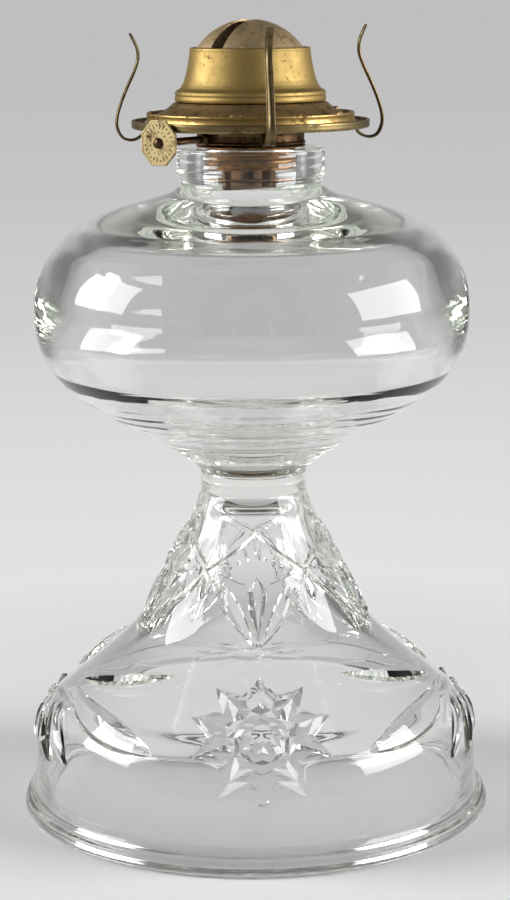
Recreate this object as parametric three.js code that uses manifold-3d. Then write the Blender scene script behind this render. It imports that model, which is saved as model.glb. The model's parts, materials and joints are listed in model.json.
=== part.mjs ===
// Kerosene table lamp: a hollow pressed-glass foot, a blown glass font with a
// threaded neck, and a flat-wick brass burner with four sprung chimney prongs.
// Millimetres, +Z up. The origin is the centre of the rim that the foot stands on.
// Azimuths run from the front, -Y, towards +X.

import * as THREE from 'three';
import { mergeVertices } from 'three/addons/utils/BufferGeometryUtils.js';
import Module from 'manifold-3d';

const wasm = await Module();
wasm.setup();

// General sizes

const clearance = 0.3; // running or seating gap between neighbouring pieces
const overrun = 2; // how far a cut runs past the faces it opens
const brassSheet = 0.6; // pressed brass
const mergeTolerance = 0.0001;

// Glass foot

const baseHeight = 115.6; // up to the joint with the font
const joinRadius = 17.7;
const skirtRadius = 75.4;
const rimRadius = 79.4;
const rimHeight = 5.3;
const waistDrop = 8; // plain stem between the cone and the joint
const baseWall = 5;
const cavityRoof = 12.4; // solid glass between the cavity and the joint
const cavityTopRadius = 10;
const cavityEdge = 3.4;
const restChamfer = 1.2;
// [radius, height] as shares: radius from the join to the skirt, height from the rim to the waist
const baseOutlineShares = [
  [1, 0], [0.993, 0.085], [0.983, 0.163], [0.951, 0.241], [0.889, 0.305], [0.776, 0.362],
  [0.577, 0.456], [0.421, 0.54], [0.322, 0.618], [0.213, 0.735], [0.12, 0.848], [0.05, 0.935],
  [0.009, 1],
];
// [reach beyond the skirt, height] as shares of the rim's own step and height
const rimOutlineShares = [[0.7, 0], [0.95, 0.17], [1, 0.42], [0.78, 0.66], [0.42, 0.76], [0.3, 0.92]];

// Raised pattern on the foot

const starCount = 2;
const starHeight = 41.2;
const starRadius = 23.3;
const starPoints = 10;
const starNotchShare = 0.76;
const starButtonRadius = 8.3;
const starRidge = 1.8;
const starValley = 0.7;
const starButton = 1.3;
const reliefSink = 0.35; // edges of the relief lie this far inside the plain surface
const reliefRoot = 1.6; // depth that the relief is rooted in the wall
const fanCount = 2;
const fanOffset = Math.PI / 2; // fans sit a quarter turn from the stars
const leafRidge = 1.7;
const leafHalfWidth = 6.4; // of the widest leaf
// leaves of half a fan: [share of a quarter turn from its middle, share of the waist's height]
const leafRootShares = [[0.13, 0.4], [0.16, 0.423], [0.14, 0.362], [0.09, 0.353], [0, 0.362]];
const leafTipShares = [[0.667, 0.331], [0.467, 0.481], [0.356, 0.234], [0.233, 0.209], [0, 0.2]];
const leafWidthShares = [1, 0.41, 0.53, 0.47, 0.47];
const kiteCount = 5;
const kiteTop = 98.8;
const kiteSide = 86;
const kiteBottom = 64;
const kiteRidge = 1.4;
const kiteColumns = 6;
const kiteOverlapShare = 1.03;
const spindleHalfWidth = 3.9;
const spindleRidge = 2.1;

// Glass font

const fontHeight = 107.6; // joint to the rim of the neck
const fontRadius = 72.2;
const fontWall = 3.8;
const fontFloor = 12.9; // thickness of glass over the joint
const neckLength = 12; // rim down to the groove under the band
const neckBand = 9.5; // height of the band round the mouth
const neckRadius = 24.5;
const neckGroove = 1.5; // depth of the groove
const neckRound = 0.9;
const threadPitch = 3;
const boreRadius = 16.9;
const glassThread = 1;
const boreDepth = 12.7; // rim down to where the bore opens out
// [radius, height]: the lower shares run from the join, the upper ones from the groove
const fontLowerShares = [
  [0, 0], [0.061, 0.036], [0.284, 0.119], [0.552, 0.203], [0.772, 0.287], [0.905, 0.37],
  [0.978, 0.454], [1, 0.569],
];
const fontUpperShares = [
  [0.98, 0.663], [0.911, 0.747], [0.768, 0.831], [0.64, 0.872], [0.447, 0.914], [0.224, 0.946],
  [0.081, 0.969], [0, 1],
];
// inside: the lower shares run from the axis, the upper ones from the bore
const hollowLowerShares = [
  [0, 0], [0.205, 0.005], [0.38, 0.026], [0.556, 0.079], [0.702, 0.145], [0.833, 0.218],
  [0.928, 0.296], [0.984, 0.39], [1, 0.506],
];
const hollowUpperShares = [
  [0.979, 0.613], [0.905, 0.701], [0.779, 0.768], [0.604, 0.828], [0.41, 0.872], [0.216, 0.906],
  [0.089, 0.933], [0.006, 0.97], [0, 1],
];

// Burner: threaded ferrule, cup and air pan

const burnerTurn = THREE.MathUtils.degToRad(-128.5); // +X of the burner points along its shaft
const ferruleLength = 7.2;
const ferruleWeb = 0.8;
const ferruleWall = 1;
const ferruleThread = 0.8;
const threadRoom = 0.45; // between the crests of the two threads
const flangeThickness = 0.6;
const cupRadius = 18.5;
const cupHeight = 4;
const cupLedge = 3.2;
const panThickness = 0.6;
const panRadius = 31.9;
const panLip = 2;
const panHoleCount = 12;
const panHoleRadius = 1.6;
const panHoleCircle = 25;

// Gallery, draught deck, bell and dome

const galleryThickness = 0.7;
const galleryInner = 30;
const chimneyRadius = 38.1; // a standard three inch chimney stands inside the lip
const chimneyRoom = 0.2;
const lipWall = 0.75;
const lipRise = 1.35; // above the seat
const lipDrop = 0.65; // below the underside
// [reach across the lip's wall, height from its lowest point] as shares
const lipOutlineShares = [
  [-0.3, 0.1], [0.2, 0], [0.7, 0.03], [1, 0.28], [1, 0.83], [0.7, 1], [0.15, 0.98], [0, 0.8],
];
const ringFootRadius = 34.9;
const ringRadius = 34.1;
const ringInner = 32.6;
const ringHeight = 3.8;
const deckInner = 21.6;
const deckFlat = 3.4; // width of the level ring that the bell stands on
const deckRise = 4.4;
const deckSkirt = 2.3;
const deckHoleCount = 20;
const deckHoleRadius = 1.1;
const deckHoleCircle = 28.6;
const bellRadius = 24.8;
const bellMouth = 19.5;
const bellHeight = 17.3;
// [radius from the mouth to the bead, height] as shares of the bell
const bellOutlineShares = [
  [0.85, 0], [1, 0.045], [1, 0.115], [0.89, 0.165], [0.7, 0.2], [0.51, 0.29], [0.32, 0.475],
  [0.17, 0.67], [0.06, 0.855], [0, 0.98], [-0.07, 1],
];
const domeRadius = 17.3;
const domeHeight = 9.1;
const domeRoom = 0.42; // collar to the inside of the bell
const domeSkirt = 4.2; // plain collar below the cap
const domeStep = 1.2; // height of the shoulder between the collar and the cap
const domeReach = 0.15; // height of the cap's edge above the bell's mouth
const slotWidth = 4.9;
const slotDrop = 0.4; // how far the slot runs below the cap's edge

// Chimney prongs

const prongSides = ['front', 'right', 'back', 'left']; // a quarter turn apart
const prongTurn = THREE.MathUtils.degToRad(8); // azimuth of the front one
const prongWidth = 3;
const prongThickness = 0.9;
const prongFoot = 32.4;
const prongCurl = 38.6;
const prongBow = 43.1;
const prongGrip = 35.7;
const prongTip = 38;
const prongDrop = 3.4; // foot down to the bottom of the curl
const prongBowRise = 5.2; // bottom of the curl up to the widest point
const prongGripRise = 28.3;
const prongTipRise = 35.2;

// Wick, tubes, shaft and wheel

const wickWidth = 24.6; // a one inch wick
const wickThickness = 2.4;
const wickBelow = 13.2; // rim of the neck down to the wick's lower end
const wickAbove = 32.8;
const wickGap = 0.3; // wick to tube on each side
const tubeWall = 0.4;
const tubeBelow = 16.2;
const tubeAbove = 33.6;
const ventRadius = 1.6;
const ventWall = 0.5;
const ventOffset = 6.5;
const ventBelow = 12;
const ventAbove = 6;
const shaftRadius = 1;
const shaftRise = 3.2; // above the rim of the neck
const shaftOffset = 4.8; // from the wick's middle plane
const shaftTail = 0.8; // past the inner bearing
const bushWall = 0.7;
const bushLength = 3.2;
const boxHalfLength = 8.6;
const boxWall = 0.5;
const boxRoom = 0.5; // room between the sprockets and the box
const sprocketThickness = 0.8;
const sprocketSpread = 5; // from the middle of the wick to each sprocket
const sprocketTeeth = 10;
const sprocketRootShare = 0.76;
const windowRoom = 0.5;
const wheelGap = 1.15; // from the gallery's lip to the wheel's inner face
const wheelRadius = 7.7;
const wheelSides = 8;
const wheelThickness = 1;
const hubRadius = 2.4;
const hubHeight = 0.5;
const rivetRadius = 1.7;
const rivetHeight = 1.1;

// Facets

const glassSegments = 32;
const brassSegments = 24;
const outlineSteps = 16;
const hollowSteps = 11;
const rowsPerPitch = 4;
const arcSteps = 5;
const holeSides = 6;
const pinSides = 12;

// Heights that follow from the sizes

const waistHeight = baseHeight - waistDrop;
const mouthZ = baseHeight + fontHeight;
const flangeBottom = mouthZ + clearance;
const flangeTop = flangeBottom + flangeThickness;
const cupBottom = flangeTop + clearance;
const cupTop = cupBottom + cupHeight;
const panBottom = cupTop + clearance;
const galleryBottom = panBottom + 2 * panThickness + clearance;
const galleryTop = galleryBottom + galleryThickness;
const deckBottom = galleryTop + clearance;
const deckTop = deckBottom + deckSkirt + deckRise;
const bellBottom = deckTop + clearance;
const bellTop = bellBottom + bellHeight;
const domeEdge = bellTop + domeReach;
const shaftZ = mouthZ + shaftRise;

// Radii that follow from the sizes

const lipInner = chimneyRadius + chimneyRoom;
const wheelReach = lipInner + lipWall + wheelGap; // axis of the lamp to the wheel's inner face

// Shared helpers

const vector = (x, y) => new THREE.Vector2(x, y);
const mix = (a, b, share) => a + (b - a) * share;

function smooth(points, steps) {
  return new THREE.SplineCurve(points).getPoints(steps);
}

// Moves an open outline sideways, to the left of its direction for a positive distance.
function sideways(points, distance) {
  return points.map((point, i) => {
    const before = points[Math.max(i - 1, 0)];
    const after = points[Math.min(i + 1, points.length - 1)];
    const along = after.clone().sub(before).normalize();
    return vector(point.x - along.y * distance, point.y + along.x * distance);
  });
}

function volume(geometry) {
  const place = geometry.getAttribute('position');
  const corners = [new THREE.Vector3(), new THREE.Vector3(), new THREE.Vector3()];
  let total = 0;
  for (let i = 0; i < geometry.index.count; i += 3) {
    corners.forEach((corner, k) => corner.fromBufferAttribute(place, geometry.index.getX(i + k)));
    total += corners[0].dot(corners[1].clone().cross(corners[2]));
  }
  return total;
}

// Welds a geometry into one closed skin whose faces point out.
function closed(geometry) {
  const bare = new THREE.BufferGeometry();
  bare.setAttribute('position', geometry.getAttribute('position').clone());
  bare.setIndex(geometry.index ? geometry.index.clone() : null);
  const welded = mergeVertices(bare, mergeTolerance);
  const kept = [];
  for (let i = 0; i < welded.index.count; i += 3) {
    const [a, b, c] = [0, 1, 2].map((k) => welded.index.getX(i + k));
    if (a !== b && b !== c && c !== a) kept.push(a, b, c);
  }
  welded.setIndex(kept);
  if (volume(welded) < 0) {
    for (let i = 0; i < kept.length; i += 3) [kept[i], kept[i + 1]] = [kept[i + 1], kept[i]];
    welded.setIndex(kept);
  }
  return welded;
}

function toSolid(geometry) {
  const skin = closed(geometry);
  return new wasm.Manifold(new wasm.Mesh({
    numProp: 3,
    vertProperties: new Float32Array(skin.getAttribute('position').array),
    triVerts: new Uint32Array(skin.index.array),
  }));
}

function fromSolid(solid) {
  const mesh = solid.getMesh();
  const geometry = new THREE.BufferGeometry();
  geometry.setAttribute('position', new THREE.Float32BufferAttribute(mesh.vertProperties, 3));
  geometry.setIndex(Array.from(mesh.triVerts));
  return geometry;
}

function cut(geometry, tools) {
  return fromSolid(tools.reduce((body, tool) => body.subtract(toSolid(tool)), toSolid(geometry)));
}

function join(geometry, others) {
  return fromSolid(others.reduce((body, other) => body.add(toSolid(other)), toSolid(geometry)));
}

// Turns an outline of [radius, height] about Z. radiusAt may change a radius as it turns.
function turned(points, segments, radiusAt) {
  const geometry = new THREE.LatheGeometry(points, segments);
  geometry.rotateX(Math.PI / 2);
  const place = geometry.getAttribute('position');
  for (let i = 0; radiusAt && i < place.count; i += 1) {
    const [x, y, z] = [place.getX(i), place.getY(i), place.getZ(i)];
    const radius = Math.hypot(x, y);
    const grown = radius > 0 ? radiusAt(radius, z, Math.atan2(x, -y)) / radius : 1;
    place.setXYZ(i, x * grown, y * grown, z);
  }
  return closed(geometry);
}

// A turned sheet: the outline is its outer face, and the sheet lies to the outline's left.
function sheet(points, thickness, segments) {
  const loop = [...points, ...sideways(points, thickness).reverse()];
  return turned([...loop, points[0]], segments);
}

// Extrudes a flat outline along Z, from one height to another.
function raised(shape, from, to) {
  const options = { depth: to - from, bevelEnabled: false, curveSegments: arcSteps };
  return new THREE.ExtrudeGeometry(shape, options).translate(0, 0, from);
}

function rod(radius, from, to, sides) {
  const geometry = new THREE.CylinderGeometry(radius, radius, to - from, sides);
  return geometry.rotateX(Math.PI / 2).translate(0, 0, mix(from, to, 0.5));
}

// The same, lying along X at the shaft's place.
function shaftRod(radius, from, to, sides) {
  return rod(radius, from, to, sides).rotateY(Math.PI / 2).translate(0, -shaftOffset, shaftZ);
}

function block(low, high) {
  const size = high.map((value, i) => value - low[i]);
  const middle = high.map((value, i) => mix(low[i], value, 0.5));
  return new THREE.BoxGeometry(...size).translate(...middle);
}

// A flat tube or strip with round edges, wide along X.
function slab(width, thickness) {
  const round = thickness / 2;
  const reach = width / 2 - round;
  const shape = new THREE.Shape();
  shape.moveTo(-reach, -round);
  shape.lineTo(reach, -round);
  shape.absarc(reach, 0, round, -Math.PI / 2, Math.PI / 2, false);
  shape.lineTo(-reach, round);
  shape.absarc(-reach, 0, round, Math.PI / 2, Math.PI * 1.5, false);
  return shape;
}

// How far a coarse rounded screw thread stands up at a height and azimuth.
function threadLift(z, azimuth, low, high) {
  const turns = (z - mouthZ) / threadPitch - azimuth / (2 * Math.PI);
  const fade = THREE.MathUtils.clamp(Math.min(z - low, high - z) / (threadPitch / 2), 0, 1);
  return fade * (0.5 - 0.5 * Math.cos(2 * Math.PI * turns));
}

function rows(low, high) {
  const count = Math.max(2, Math.round((rowsPerPitch * (high - low)) / threadPitch));
  return Array.from({ length: count + 1 }, (_, i) => mix(low, high, i / count));
}

// Glass foot: the plain outer face, from the rim up to the joint

const coneLine = smooth(
  baseOutlineShares.map(([reach, rise]) => vector(
    mix(joinRadius, skirtRadius, reach),
    mix(rimHeight, waistHeight, rise),
  )),
  outlineSteps,
);

// Distance along the cone's face from the rim, for each of its points.
const coneArc = coneLine.reduce((sums, point, i) => {
  sums.push(i === 0 ? 0 : sums[i - 1] + point.distanceTo(coneLine[i - 1]));
  return sums;
}, []);

function between(values, value) {
  const rising = values[values.length - 1] > values[0];
  let i = 0;
  while (i < values.length - 2 && (rising ? values[i + 1] < value : values[i + 1] > value)) i += 1;
  return [i, (value - values[i]) / (values[i + 1] - values[i])];
}

function arcAtHeight(z) {
  const [i, share] = between(coneLine.map((point) => point.y), z);
  return mix(coneArc[i], coneArc[i + 1], share);
}

// A point on the cone's face, moved out from it by lift.
function onCone(azimuth, arc, lift) {
  const [i, share] = between(coneArc, arc);
  const place = coneLine[i].clone().lerp(coneLine[i + 1], share);
  const along = coneLine[i + 1].clone().sub(coneLine[i]).normalize();
  const radius = place.x + along.y * lift;
  const z = place.y - along.x * lift;
  return [radius * Math.sin(azimuth), -radius * Math.cos(azimuth), z];
}

// A raised motif: corners are [azimuth, arc, lift]. Its edge and its underside lie in the wall.
function relief(corners, faces) {
  const uses = new Map();
  faces.forEach(([a, b, c]) => [[a, b], [b, c], [c, a]].forEach(([p, q]) => {
    const key = p < q ? `${p} ${q}` : `${q} ${p}`;
    uses.set(key, (uses.get(key) || 0) + 1);
  }));
  const edge = new Set();
  uses.forEach((count, key) => {
    if (count === 1) key.split(' ').forEach((corner) => edge.add(Number(corner)));
  });
  const places = corners.map(([azimuth, arc, lift], i) => (
    onCone(azimuth, arc, edge.has(i) ? -reliefSink : lift)));
  const under = corners.map(([azimuth, arc], i) => {
    if (edge.has(i)) return i;
    places.push(onCone(azimuth, arc, -reliefRoot));
    return places.length - 1;
  });
  const triangles = faces.flat();
  faces.forEach(([a, b, c]) => triangles.push(under[a], under[c], under[b]));
  const geometry = new THREE.BufferGeometry();
  geometry.setAttribute('position', new THREE.Float32BufferAttribute(places.flat(), 3));
  geometry.setIndex(triangles);
  return geometry;
}

function star(azimuth) {
  const middle = arcAtHeight(starHeight);
  const rings = 2 * starPoints;
  const corners = [[azimuth, middle, starButton]];
  const faces = [];
  const ring = (reach, lift) => {
    for (let i = 0; i < rings; i += 1) {
      const turn = (i * Math.PI) / starPoints;
      const arc = middle + reach(i) * Math.cos(turn);
      const radius = onConeRadius(arc);
      corners.push([azimuth + (reach(i) * Math.sin(turn)) / radius, arc, lift(i)]);
    }
  };
  const ridged = (i) => (i % 2 === 0 ? starRidge : starValley);
  ring(() => starButtonRadius, ridged);
  ring(() => mix(starButtonRadius, starRadius, 0.4), ridged);
  ring((i) => (i % 2 === 0 ? starRadius : starRadius * starNotchShare), () => 0);
  for (let i = 0; i < rings; i += 1) {
    const next = (i + 1) % rings;
    faces.push([0, 1 + i, 1 + next]);
    for (let k = 0; k < 2; k += 1) {
      const [a, b] = [1 + k * rings + i, 1 + k * rings + next];
      faces.push([a, a + rings, b], [b, a + rings, b + rings]);
    }
  }
  return relief(corners, faces);
}

function onConeRadius(arc) {
  const [i, share] = between(coneArc, arc);
  return mix(coneLine[i].x, coneLine[i + 1].x, share);
}

// A pointed leaf with a ridge down its middle, between two [azimuth, arc] places.
function leaf(root, tip, halfWidth, ridge) {
  const steps = Math.max(4, Math.round(Math.abs(tip[0] - root[0]) * arcSteps));
  const across = onConeRadius(mix(root[1], tip[1], 0.5));
  const run = vector((tip[0] - root[0]) * across, tip[1] - root[1]).normalize();
  const corners = [[...root, 0]];
  for (let i = 1; i < steps; i += 1) {
    const share = i / steps;
    const width = halfWidth * Math.sin(Math.PI * share) ** 0.8;
    const azimuth = mix(root[0], tip[0], share);
    const arc = mix(root[1], tip[1], share);
    const radius = onConeRadius(arc);
    corners.push([azimuth - (run.y * width) / radius, arc + run.x * width, 0]);
    corners.push([azimuth, arc, ridge * Math.sin(Math.PI * share) ** 0.5]);
    corners.push([azimuth + (run.y * width) / radius, arc - run.x * width, 0]);
  }
  corners.push([...tip, 0]);
  const last = corners.length - 1;
  const faces = [[0, 2, 1], [0, 3, 2], [last, last - 3, last - 2], [last, last - 2, last - 1]];
  for (let i = 0; i < steps - 2; i += 1) {
    for (let k = 1; k < 3; k += 1) {
      const a = 3 * i + k;
      faces.push([a, a + 1, a + 3], [a + 1, a + 4, a + 3]);
    }
  }
  return relief(corners, faces);
}

function fan(azimuth) {
  const leaves = [];
  leafTipShares.forEach((tip, i) => {
    const sides = tip[0] === 0 ? [1] : [1, -1];
    sides.forEach((side) => {
      const ends = [leafRootShares[i], tip].map(([turn, rise]) => [
        azimuth + (side * turn * Math.PI) / 2,
        arcAtHeight(rise * waistHeight),
      ]);
      leaves.push(leaf(...ends, leafHalfWidth * leafWidthShares[i], leafRidge));
    });
  });
  return leaves;
}

function kite(azimuth) {
  const halfAngle = (kiteOverlapShare * Math.PI) / kiteCount;
  const corners = [[azimuth - halfAngle, arcAtHeight(kiteSide), 0]];
  for (let i = 1; i < kiteColumns; i += 1) {
    const offset = mix(-1, 1, i / kiteColumns);
    const spread = Math.abs(offset);
    const place = azimuth + offset * halfAngle;
    corners.push([place, arcAtHeight(mix(kiteTop, kiteSide, spread)), 0]);
    corners.push([place, arcAtHeight(kiteSide), kiteRidge * (1 - spread)]);
    corners.push([place, arcAtHeight(mix(kiteBottom, kiteSide, spread)), 0]);
  }
  corners.push([azimuth + halfAngle, arcAtHeight(kiteSide), 0]);
  const last = corners.length - 1;
  const faces = [[0, 2, 1], [0, 3, 2], [last, last - 3, last - 2], [last, last - 2, last - 1]];
  for (let i = 0; i < kiteColumns - 2; i += 1) {
    for (let k = 1; k < 3; k += 1) {
      const a = 3 * i + k;
      faces.push([a, a + 1, a + 3], [a + 1, a + 4, a + 3]);
    }
  }
  const ends = [kiteSide, kiteBottom].map((z) => [azimuth, arcAtHeight(z)]);
  return [relief(corners, faces), leaf(...ends, spindleHalfWidth, spindleRidge)];
}

function glassBase() {
  const cavityTop = baseHeight - cavityRoof;
  const inside = sideways(coneLine, baseWall).filter((point) => point.y < cavityTop - cavityEdge);
  const foot = inside[0];
  const rim = rimOutlineShares.map(([reach, rise]) => vector(
    mix(skirtRadius, rimRadius, reach),
    rise * rimHeight,
  ));
  const outline = [
    vector(0, cavityTop),
    vector(cavityTopRadius, cavityTop),
    vector(cavityTopRadius + cavityEdge, cavityTop - cavityEdge / 4),
    ...inside.reverse(),
    vector(foot.x, restChamfer),
    vector(foot.x + restChamfer, 0),
    ...rim,
    ...coneLine,
    vector(joinRadius, mix(waistHeight, baseHeight, 0.5)),
    vector(joinRadius, baseHeight),
    vector(0, baseHeight),
  ];
  const stars = Array.from({ length: starCount }, (_, i) => star((i * 2 * Math.PI) / starCount));
  const fans = Array.from({ length: fanCount }, (_, i) => (
    fan(fanOffset + (i * 2 * Math.PI) / fanCount))).flat();
  const kites = Array.from({ length: kiteCount }, (_, i) => kite((i * 2 * Math.PI) / kiteCount)).flat();
  return join(turned(outline, glassSegments), [...stars, ...fans, ...kites]);
}

// Glass font: outer face, rounded mouth, threaded bore and hollow

function glassFont() {
  const grooveZ = mouthZ - neckLength;
  const grooveRadius = neckRadius - neckGroove;
  const floorZ = baseHeight + fontFloor;
  const boreZ = mouthZ - boreDepth;
  const hollowRadius = fontRadius - fontWall;
  const spread = (shares, inner, outer, low, high) => shares.map(([reach, rise]) => (
    vector(mix(inner, outer, reach), mix(low, high, rise))));
  const outside = smooth([
    ...spread(fontLowerShares, joinRadius, fontRadius, baseHeight, grooveZ),
    ...spread(fontUpperShares, grooveRadius, fontRadius, baseHeight, grooveZ),
  ], outlineSteps + arcSteps);
  const inside = smooth([
    ...spread(hollowLowerShares, 0, hollowRadius, floorZ, boreZ),
    ...spread(hollowUpperShares, boreRadius, hollowRadius, floorZ, boreZ),
  ], hollowSteps + arcSteps);
  const threadLow = boreZ + threadPitch / 2;
  const threadHigh = mouthZ - neckRound;
  const outline = [
    vector(0, baseHeight),
    ...outside,
    vector(neckRadius, mouthZ - neckBand),
    vector(neckRadius, mouthZ - neckRound),
    vector(neckRadius - neckRound, mouthZ),
    vector(boreRadius + neckRound, mouthZ),
    ...rows(threadLow, threadHigh).reverse().map((z) => vector(boreRadius, z)),
    ...inside.reverse(),
  ];
  return turned(outline, glassSegments, (radius, z, azimuth) => (
    Math.abs(radius - boreRadius) < neckRound / 2
      ? radius - glassThread * threadLift(z, azimuth, threadLow, threadHigh)
      : radius));
}

// Burner pieces, in the burner's own frame: the shaft runs along +X

const tubeWidth = wickWidth + 2 * (wickGap + tubeWall);
const tubeThickness = wickThickness + 2 * (wickGap + tubeWall);

const crestRadius = boreRadius - glassThread - threadRoom;
const ferruleRoot = crestRadius - ferruleThread;
const ferruleBore = ferruleRoot - ferruleWall;

function screwFerrule() {
  const low = flangeBottom - ferruleLength;
  const threadHigh = flangeBottom - flangeThickness;
  const outline = [
    vector(0, low),
    ...rows(low, threadHigh).map((z) => vector(ferruleRoot, z)),
    vector(ferruleRoot, flangeBottom),
    vector(cupRadius, flangeBottom),
    vector(cupRadius, flangeTop),
    vector(ferruleBore, flangeTop),
    vector(ferruleBore, low + ferruleWeb),
    vector(0, low + ferruleWeb),
  ];
  const body = turned(outline, brassSegments, (radius, z, azimuth) => (
    Math.abs(radius - ferruleRoot) < ferruleThread / 2 && z < threadHigh
      ? radius + ferruleThread * threadLift(z, azimuth, low, threadHigh)
      : radius));
  const slot = raised(
    slab(tubeWidth + 2 * clearance, tubeThickness + 2 * clearance),
    low - overrun,
    low + ferruleWeb + overrun,
  );
  const vent = rod(ventRadius + clearance, low - overrun, low + ferruleWeb + overrun, pinSides);
  return cut(body, [slot, vent.translate(0, ventOffset, 0)]);
}

function burnerCup() {
  const outline = [
    vector(cupRadius - cupLedge, cupBottom),
    vector(cupRadius, cupBottom),
    vector(cupRadius, cupTop),
    vector(cupRadius - brassSheet, cupTop),
    vector(cupRadius - brassSheet, cupBottom + brassSheet),
    vector(cupRadius - cupLedge, cupBottom + brassSheet),
    vector(cupRadius - cupLedge, cupBottom),
  ];
  const hole = shaftRod(shaftRadius + clearance, 0, cupRadius + overrun, pinSides);
  return cut(turned(outline, brassSegments), [hole]);
}

// Evenly spaced upright holes on a circle.
function holeRing(count, radius, circle, low, high) {
  return Array.from({ length: count }, (_, i) => {
    const turn = (i * 2 * Math.PI) / count;
    return rod(radius, low, high, holeSides)
      .translate(circle * Math.cos(turn), circle * Math.sin(turn), 0);
  });
}

function airPan() {
  const rise = panBottom + panThickness;
  const body = turned([
    vector(cupRadius - panLip, panBottom),
    vector(cupRadius, panBottom),
    vector(panRadius - panLip, rise),
    vector(panRadius, rise),
    vector(panRadius, rise + panThickness),
    vector(panRadius - panLip, rise + panThickness),
    vector(cupRadius, rise),
    vector(cupRadius - panLip, rise),
    vector(cupRadius - panLip, panBottom),
  ], brassSegments);
  return cut(body, holeRing(
    panHoleCount,
    panHoleRadius,
    panHoleCircle,
    panBottom - overrun,
    rise + panThickness + overrun,
  ));
}

function gallery() {
  const ringTop = galleryTop + ringHeight;
  const lip = lipOutlineShares.map(([reach, rise]) => vector(
    lipInner + reach * lipWall,
    mix(galleryBottom - lipDrop, galleryTop + lipRise, rise),
  ));
  const ringWall = ringRadius - ringInner;
  return turned([
    vector(galleryInner, galleryBottom),
    vector(lipInner - lipWall, galleryBottom),
    ...lip,
    vector(lipInner, galleryTop),
    vector(ringFootRadius, galleryTop),
    vector(mix(ringFootRadius, ringRadius, 0.5), galleryTop + galleryThickness),
    vector(ringRadius, ringTop - ringWall / 2),
    vector(ringRadius - ringWall / 3, ringTop),
    vector(ringInner + ringWall / 3, ringTop),
    vector(ringInner, ringTop - ringWall / 3),
    vector(ringInner, galleryTop),
    vector(galleryInner, galleryTop),
    vector(galleryInner, galleryBottom),
  ], brassSegments);
}

function draftDeck() {
  const outer = ringInner - clearance;
  const body = sheet([
    vector(outer, deckBottom),
    vector(outer, deckBottom + deckSkirt),
    vector(deckInner + deckFlat, deckTop),
    vector(deckInner, deckTop),
  ], brassSheet, brassSegments);
  return cut(body, holeRing(
    deckHoleCount,
    deckHoleRadius,
    deckHoleCircle,
    deckBottom,
    deckTop + overrun,
  ));
}

function bell() {
  return sheet(bellOutlineShares.map(([reach, rise]) => vector(
    mix(bellMouth, bellRadius, reach),
    mix(bellBottom, bellTop, rise),
  )), brassSheet, brassSegments);
}

function dome() {
  const capRadius = (domeRadius ** 2 + domeHeight ** 2) / (2 * domeHeight);
  const capCentre = domeEdge + domeHeight - capRadius;
  const collar = bellMouth - brassSheet - domeRoom;
  const shoulder = domeEdge - domeStep;
  const sweep = Math.asin(domeRadius / capRadius);
  const steps = arcSteps + 2;
  const cap = (radius) => Array.from({ length: steps }, (_, i) => {
    const turn = sweep * (1 - i / steps);
    return vector(radius * Math.sin(turn), capCentre + radius * Math.cos(turn));
  });
  const inner = capRadius - brassSheet;
  const outline = [
    vector(0, capCentre + inner),
    ...cap(inner).reverse(),
    vector(collar - brassSheet, shoulder - brassSheet),
    vector(collar - brassSheet, shoulder - domeSkirt),
    vector(collar, shoulder - domeSkirt),
    vector(collar, shoulder),
    ...cap(capRadius),
    vector(0, capCentre + capRadius),
  ];
  const slot = block(
    [-collar, -slotWidth / 2, domeEdge - slotDrop],
    [collar, slotWidth / 2, domeEdge + domeHeight + overrun],
  );
  return cut(turned(outline, brassSegments), [slot]);
}

function prong() {
  const footZ = galleryBottom - clearance - prongThickness / 2;
  const curlZ = footZ - prongDrop;
  const bowZ = curlZ + prongBowRise;
  const gripZ = curlZ + prongGripRise;
  const tipZ = curlZ + prongTipRise;
  const line = smooth([
    vector(prongFoot, footZ),
    vector(mix(prongFoot, prongCurl, 0.35), footZ),
    vector(mix(prongFoot, prongCurl, 0.66), mix(footZ, curlZ, 0.75)),
    vector(prongCurl, curlZ),
    vector(mix(prongCurl, prongBow, 0.64), mix(curlZ, bowZ, 0.24)),
    vector(prongBow, bowZ),
    vector(mix(prongBow, prongGrip, 0.2), mix(bowZ, gripZ, 0.26)),
    vector(mix(prongBow, prongGrip, 0.66), mix(bowZ, gripZ, 0.68)),
    vector(prongGrip, gripZ),
    vector(mix(prongGrip, prongTip, 0.3), mix(gripZ, tipZ, 0.4)),
    vector(prongTip, tipZ),
  ], outlineSteps + arcSteps);
  const outline = [
    ...sideways(line, -prongThickness / 2),
    ...sideways(line, prongThickness / 2).reverse(),
  ];
  return raised(new THREE.Shape(outline), -prongWidth / 2, prongWidth / 2).rotateX(Math.PI / 2);
}

function wickTube() {
  const shape = slab(tubeWidth, tubeThickness);
  shape.holes.push(slab(tubeWidth - 2 * tubeWall, tubeThickness - 2 * tubeWall));
  const body = raised(shape, mouthZ - tubeBelow, mouthZ + tubeAbove);
  const reach = sprocketThickness / 2 + windowRoom;
  const windows = [-1, 1].map((side) => block(
    [side * sprocketSpread - reach, -tubeThickness / 2 - overrun, shaftZ - sprocketRadius],
    [side * sprocketSpread + reach, -wickThickness / 2, shaftZ + sprocketRadius],
  ));
  return cut(body, windows);
}

function wick() {
  return raised(slab(wickWidth, wickThickness), mouthZ - wickBelow, mouthZ + wickAbove);
}

function ventTube() {
  const outline = new THREE.Shape().absarc(0, 0, ventRadius, 0, 2 * Math.PI);
  outline.holes.push(new THREE.Path().absarc(0, 0, ventRadius - ventWall, 0, 2 * Math.PI));
  return raised(outline, mouthZ - ventBelow, mouthZ + ventAbove).translate(0, ventOffset, 0);
}

// The sprockets' points stop just short of the wick's face.
const sprocketRadius = shaftOffset - wickThickness / 2 - wickGap;

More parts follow.
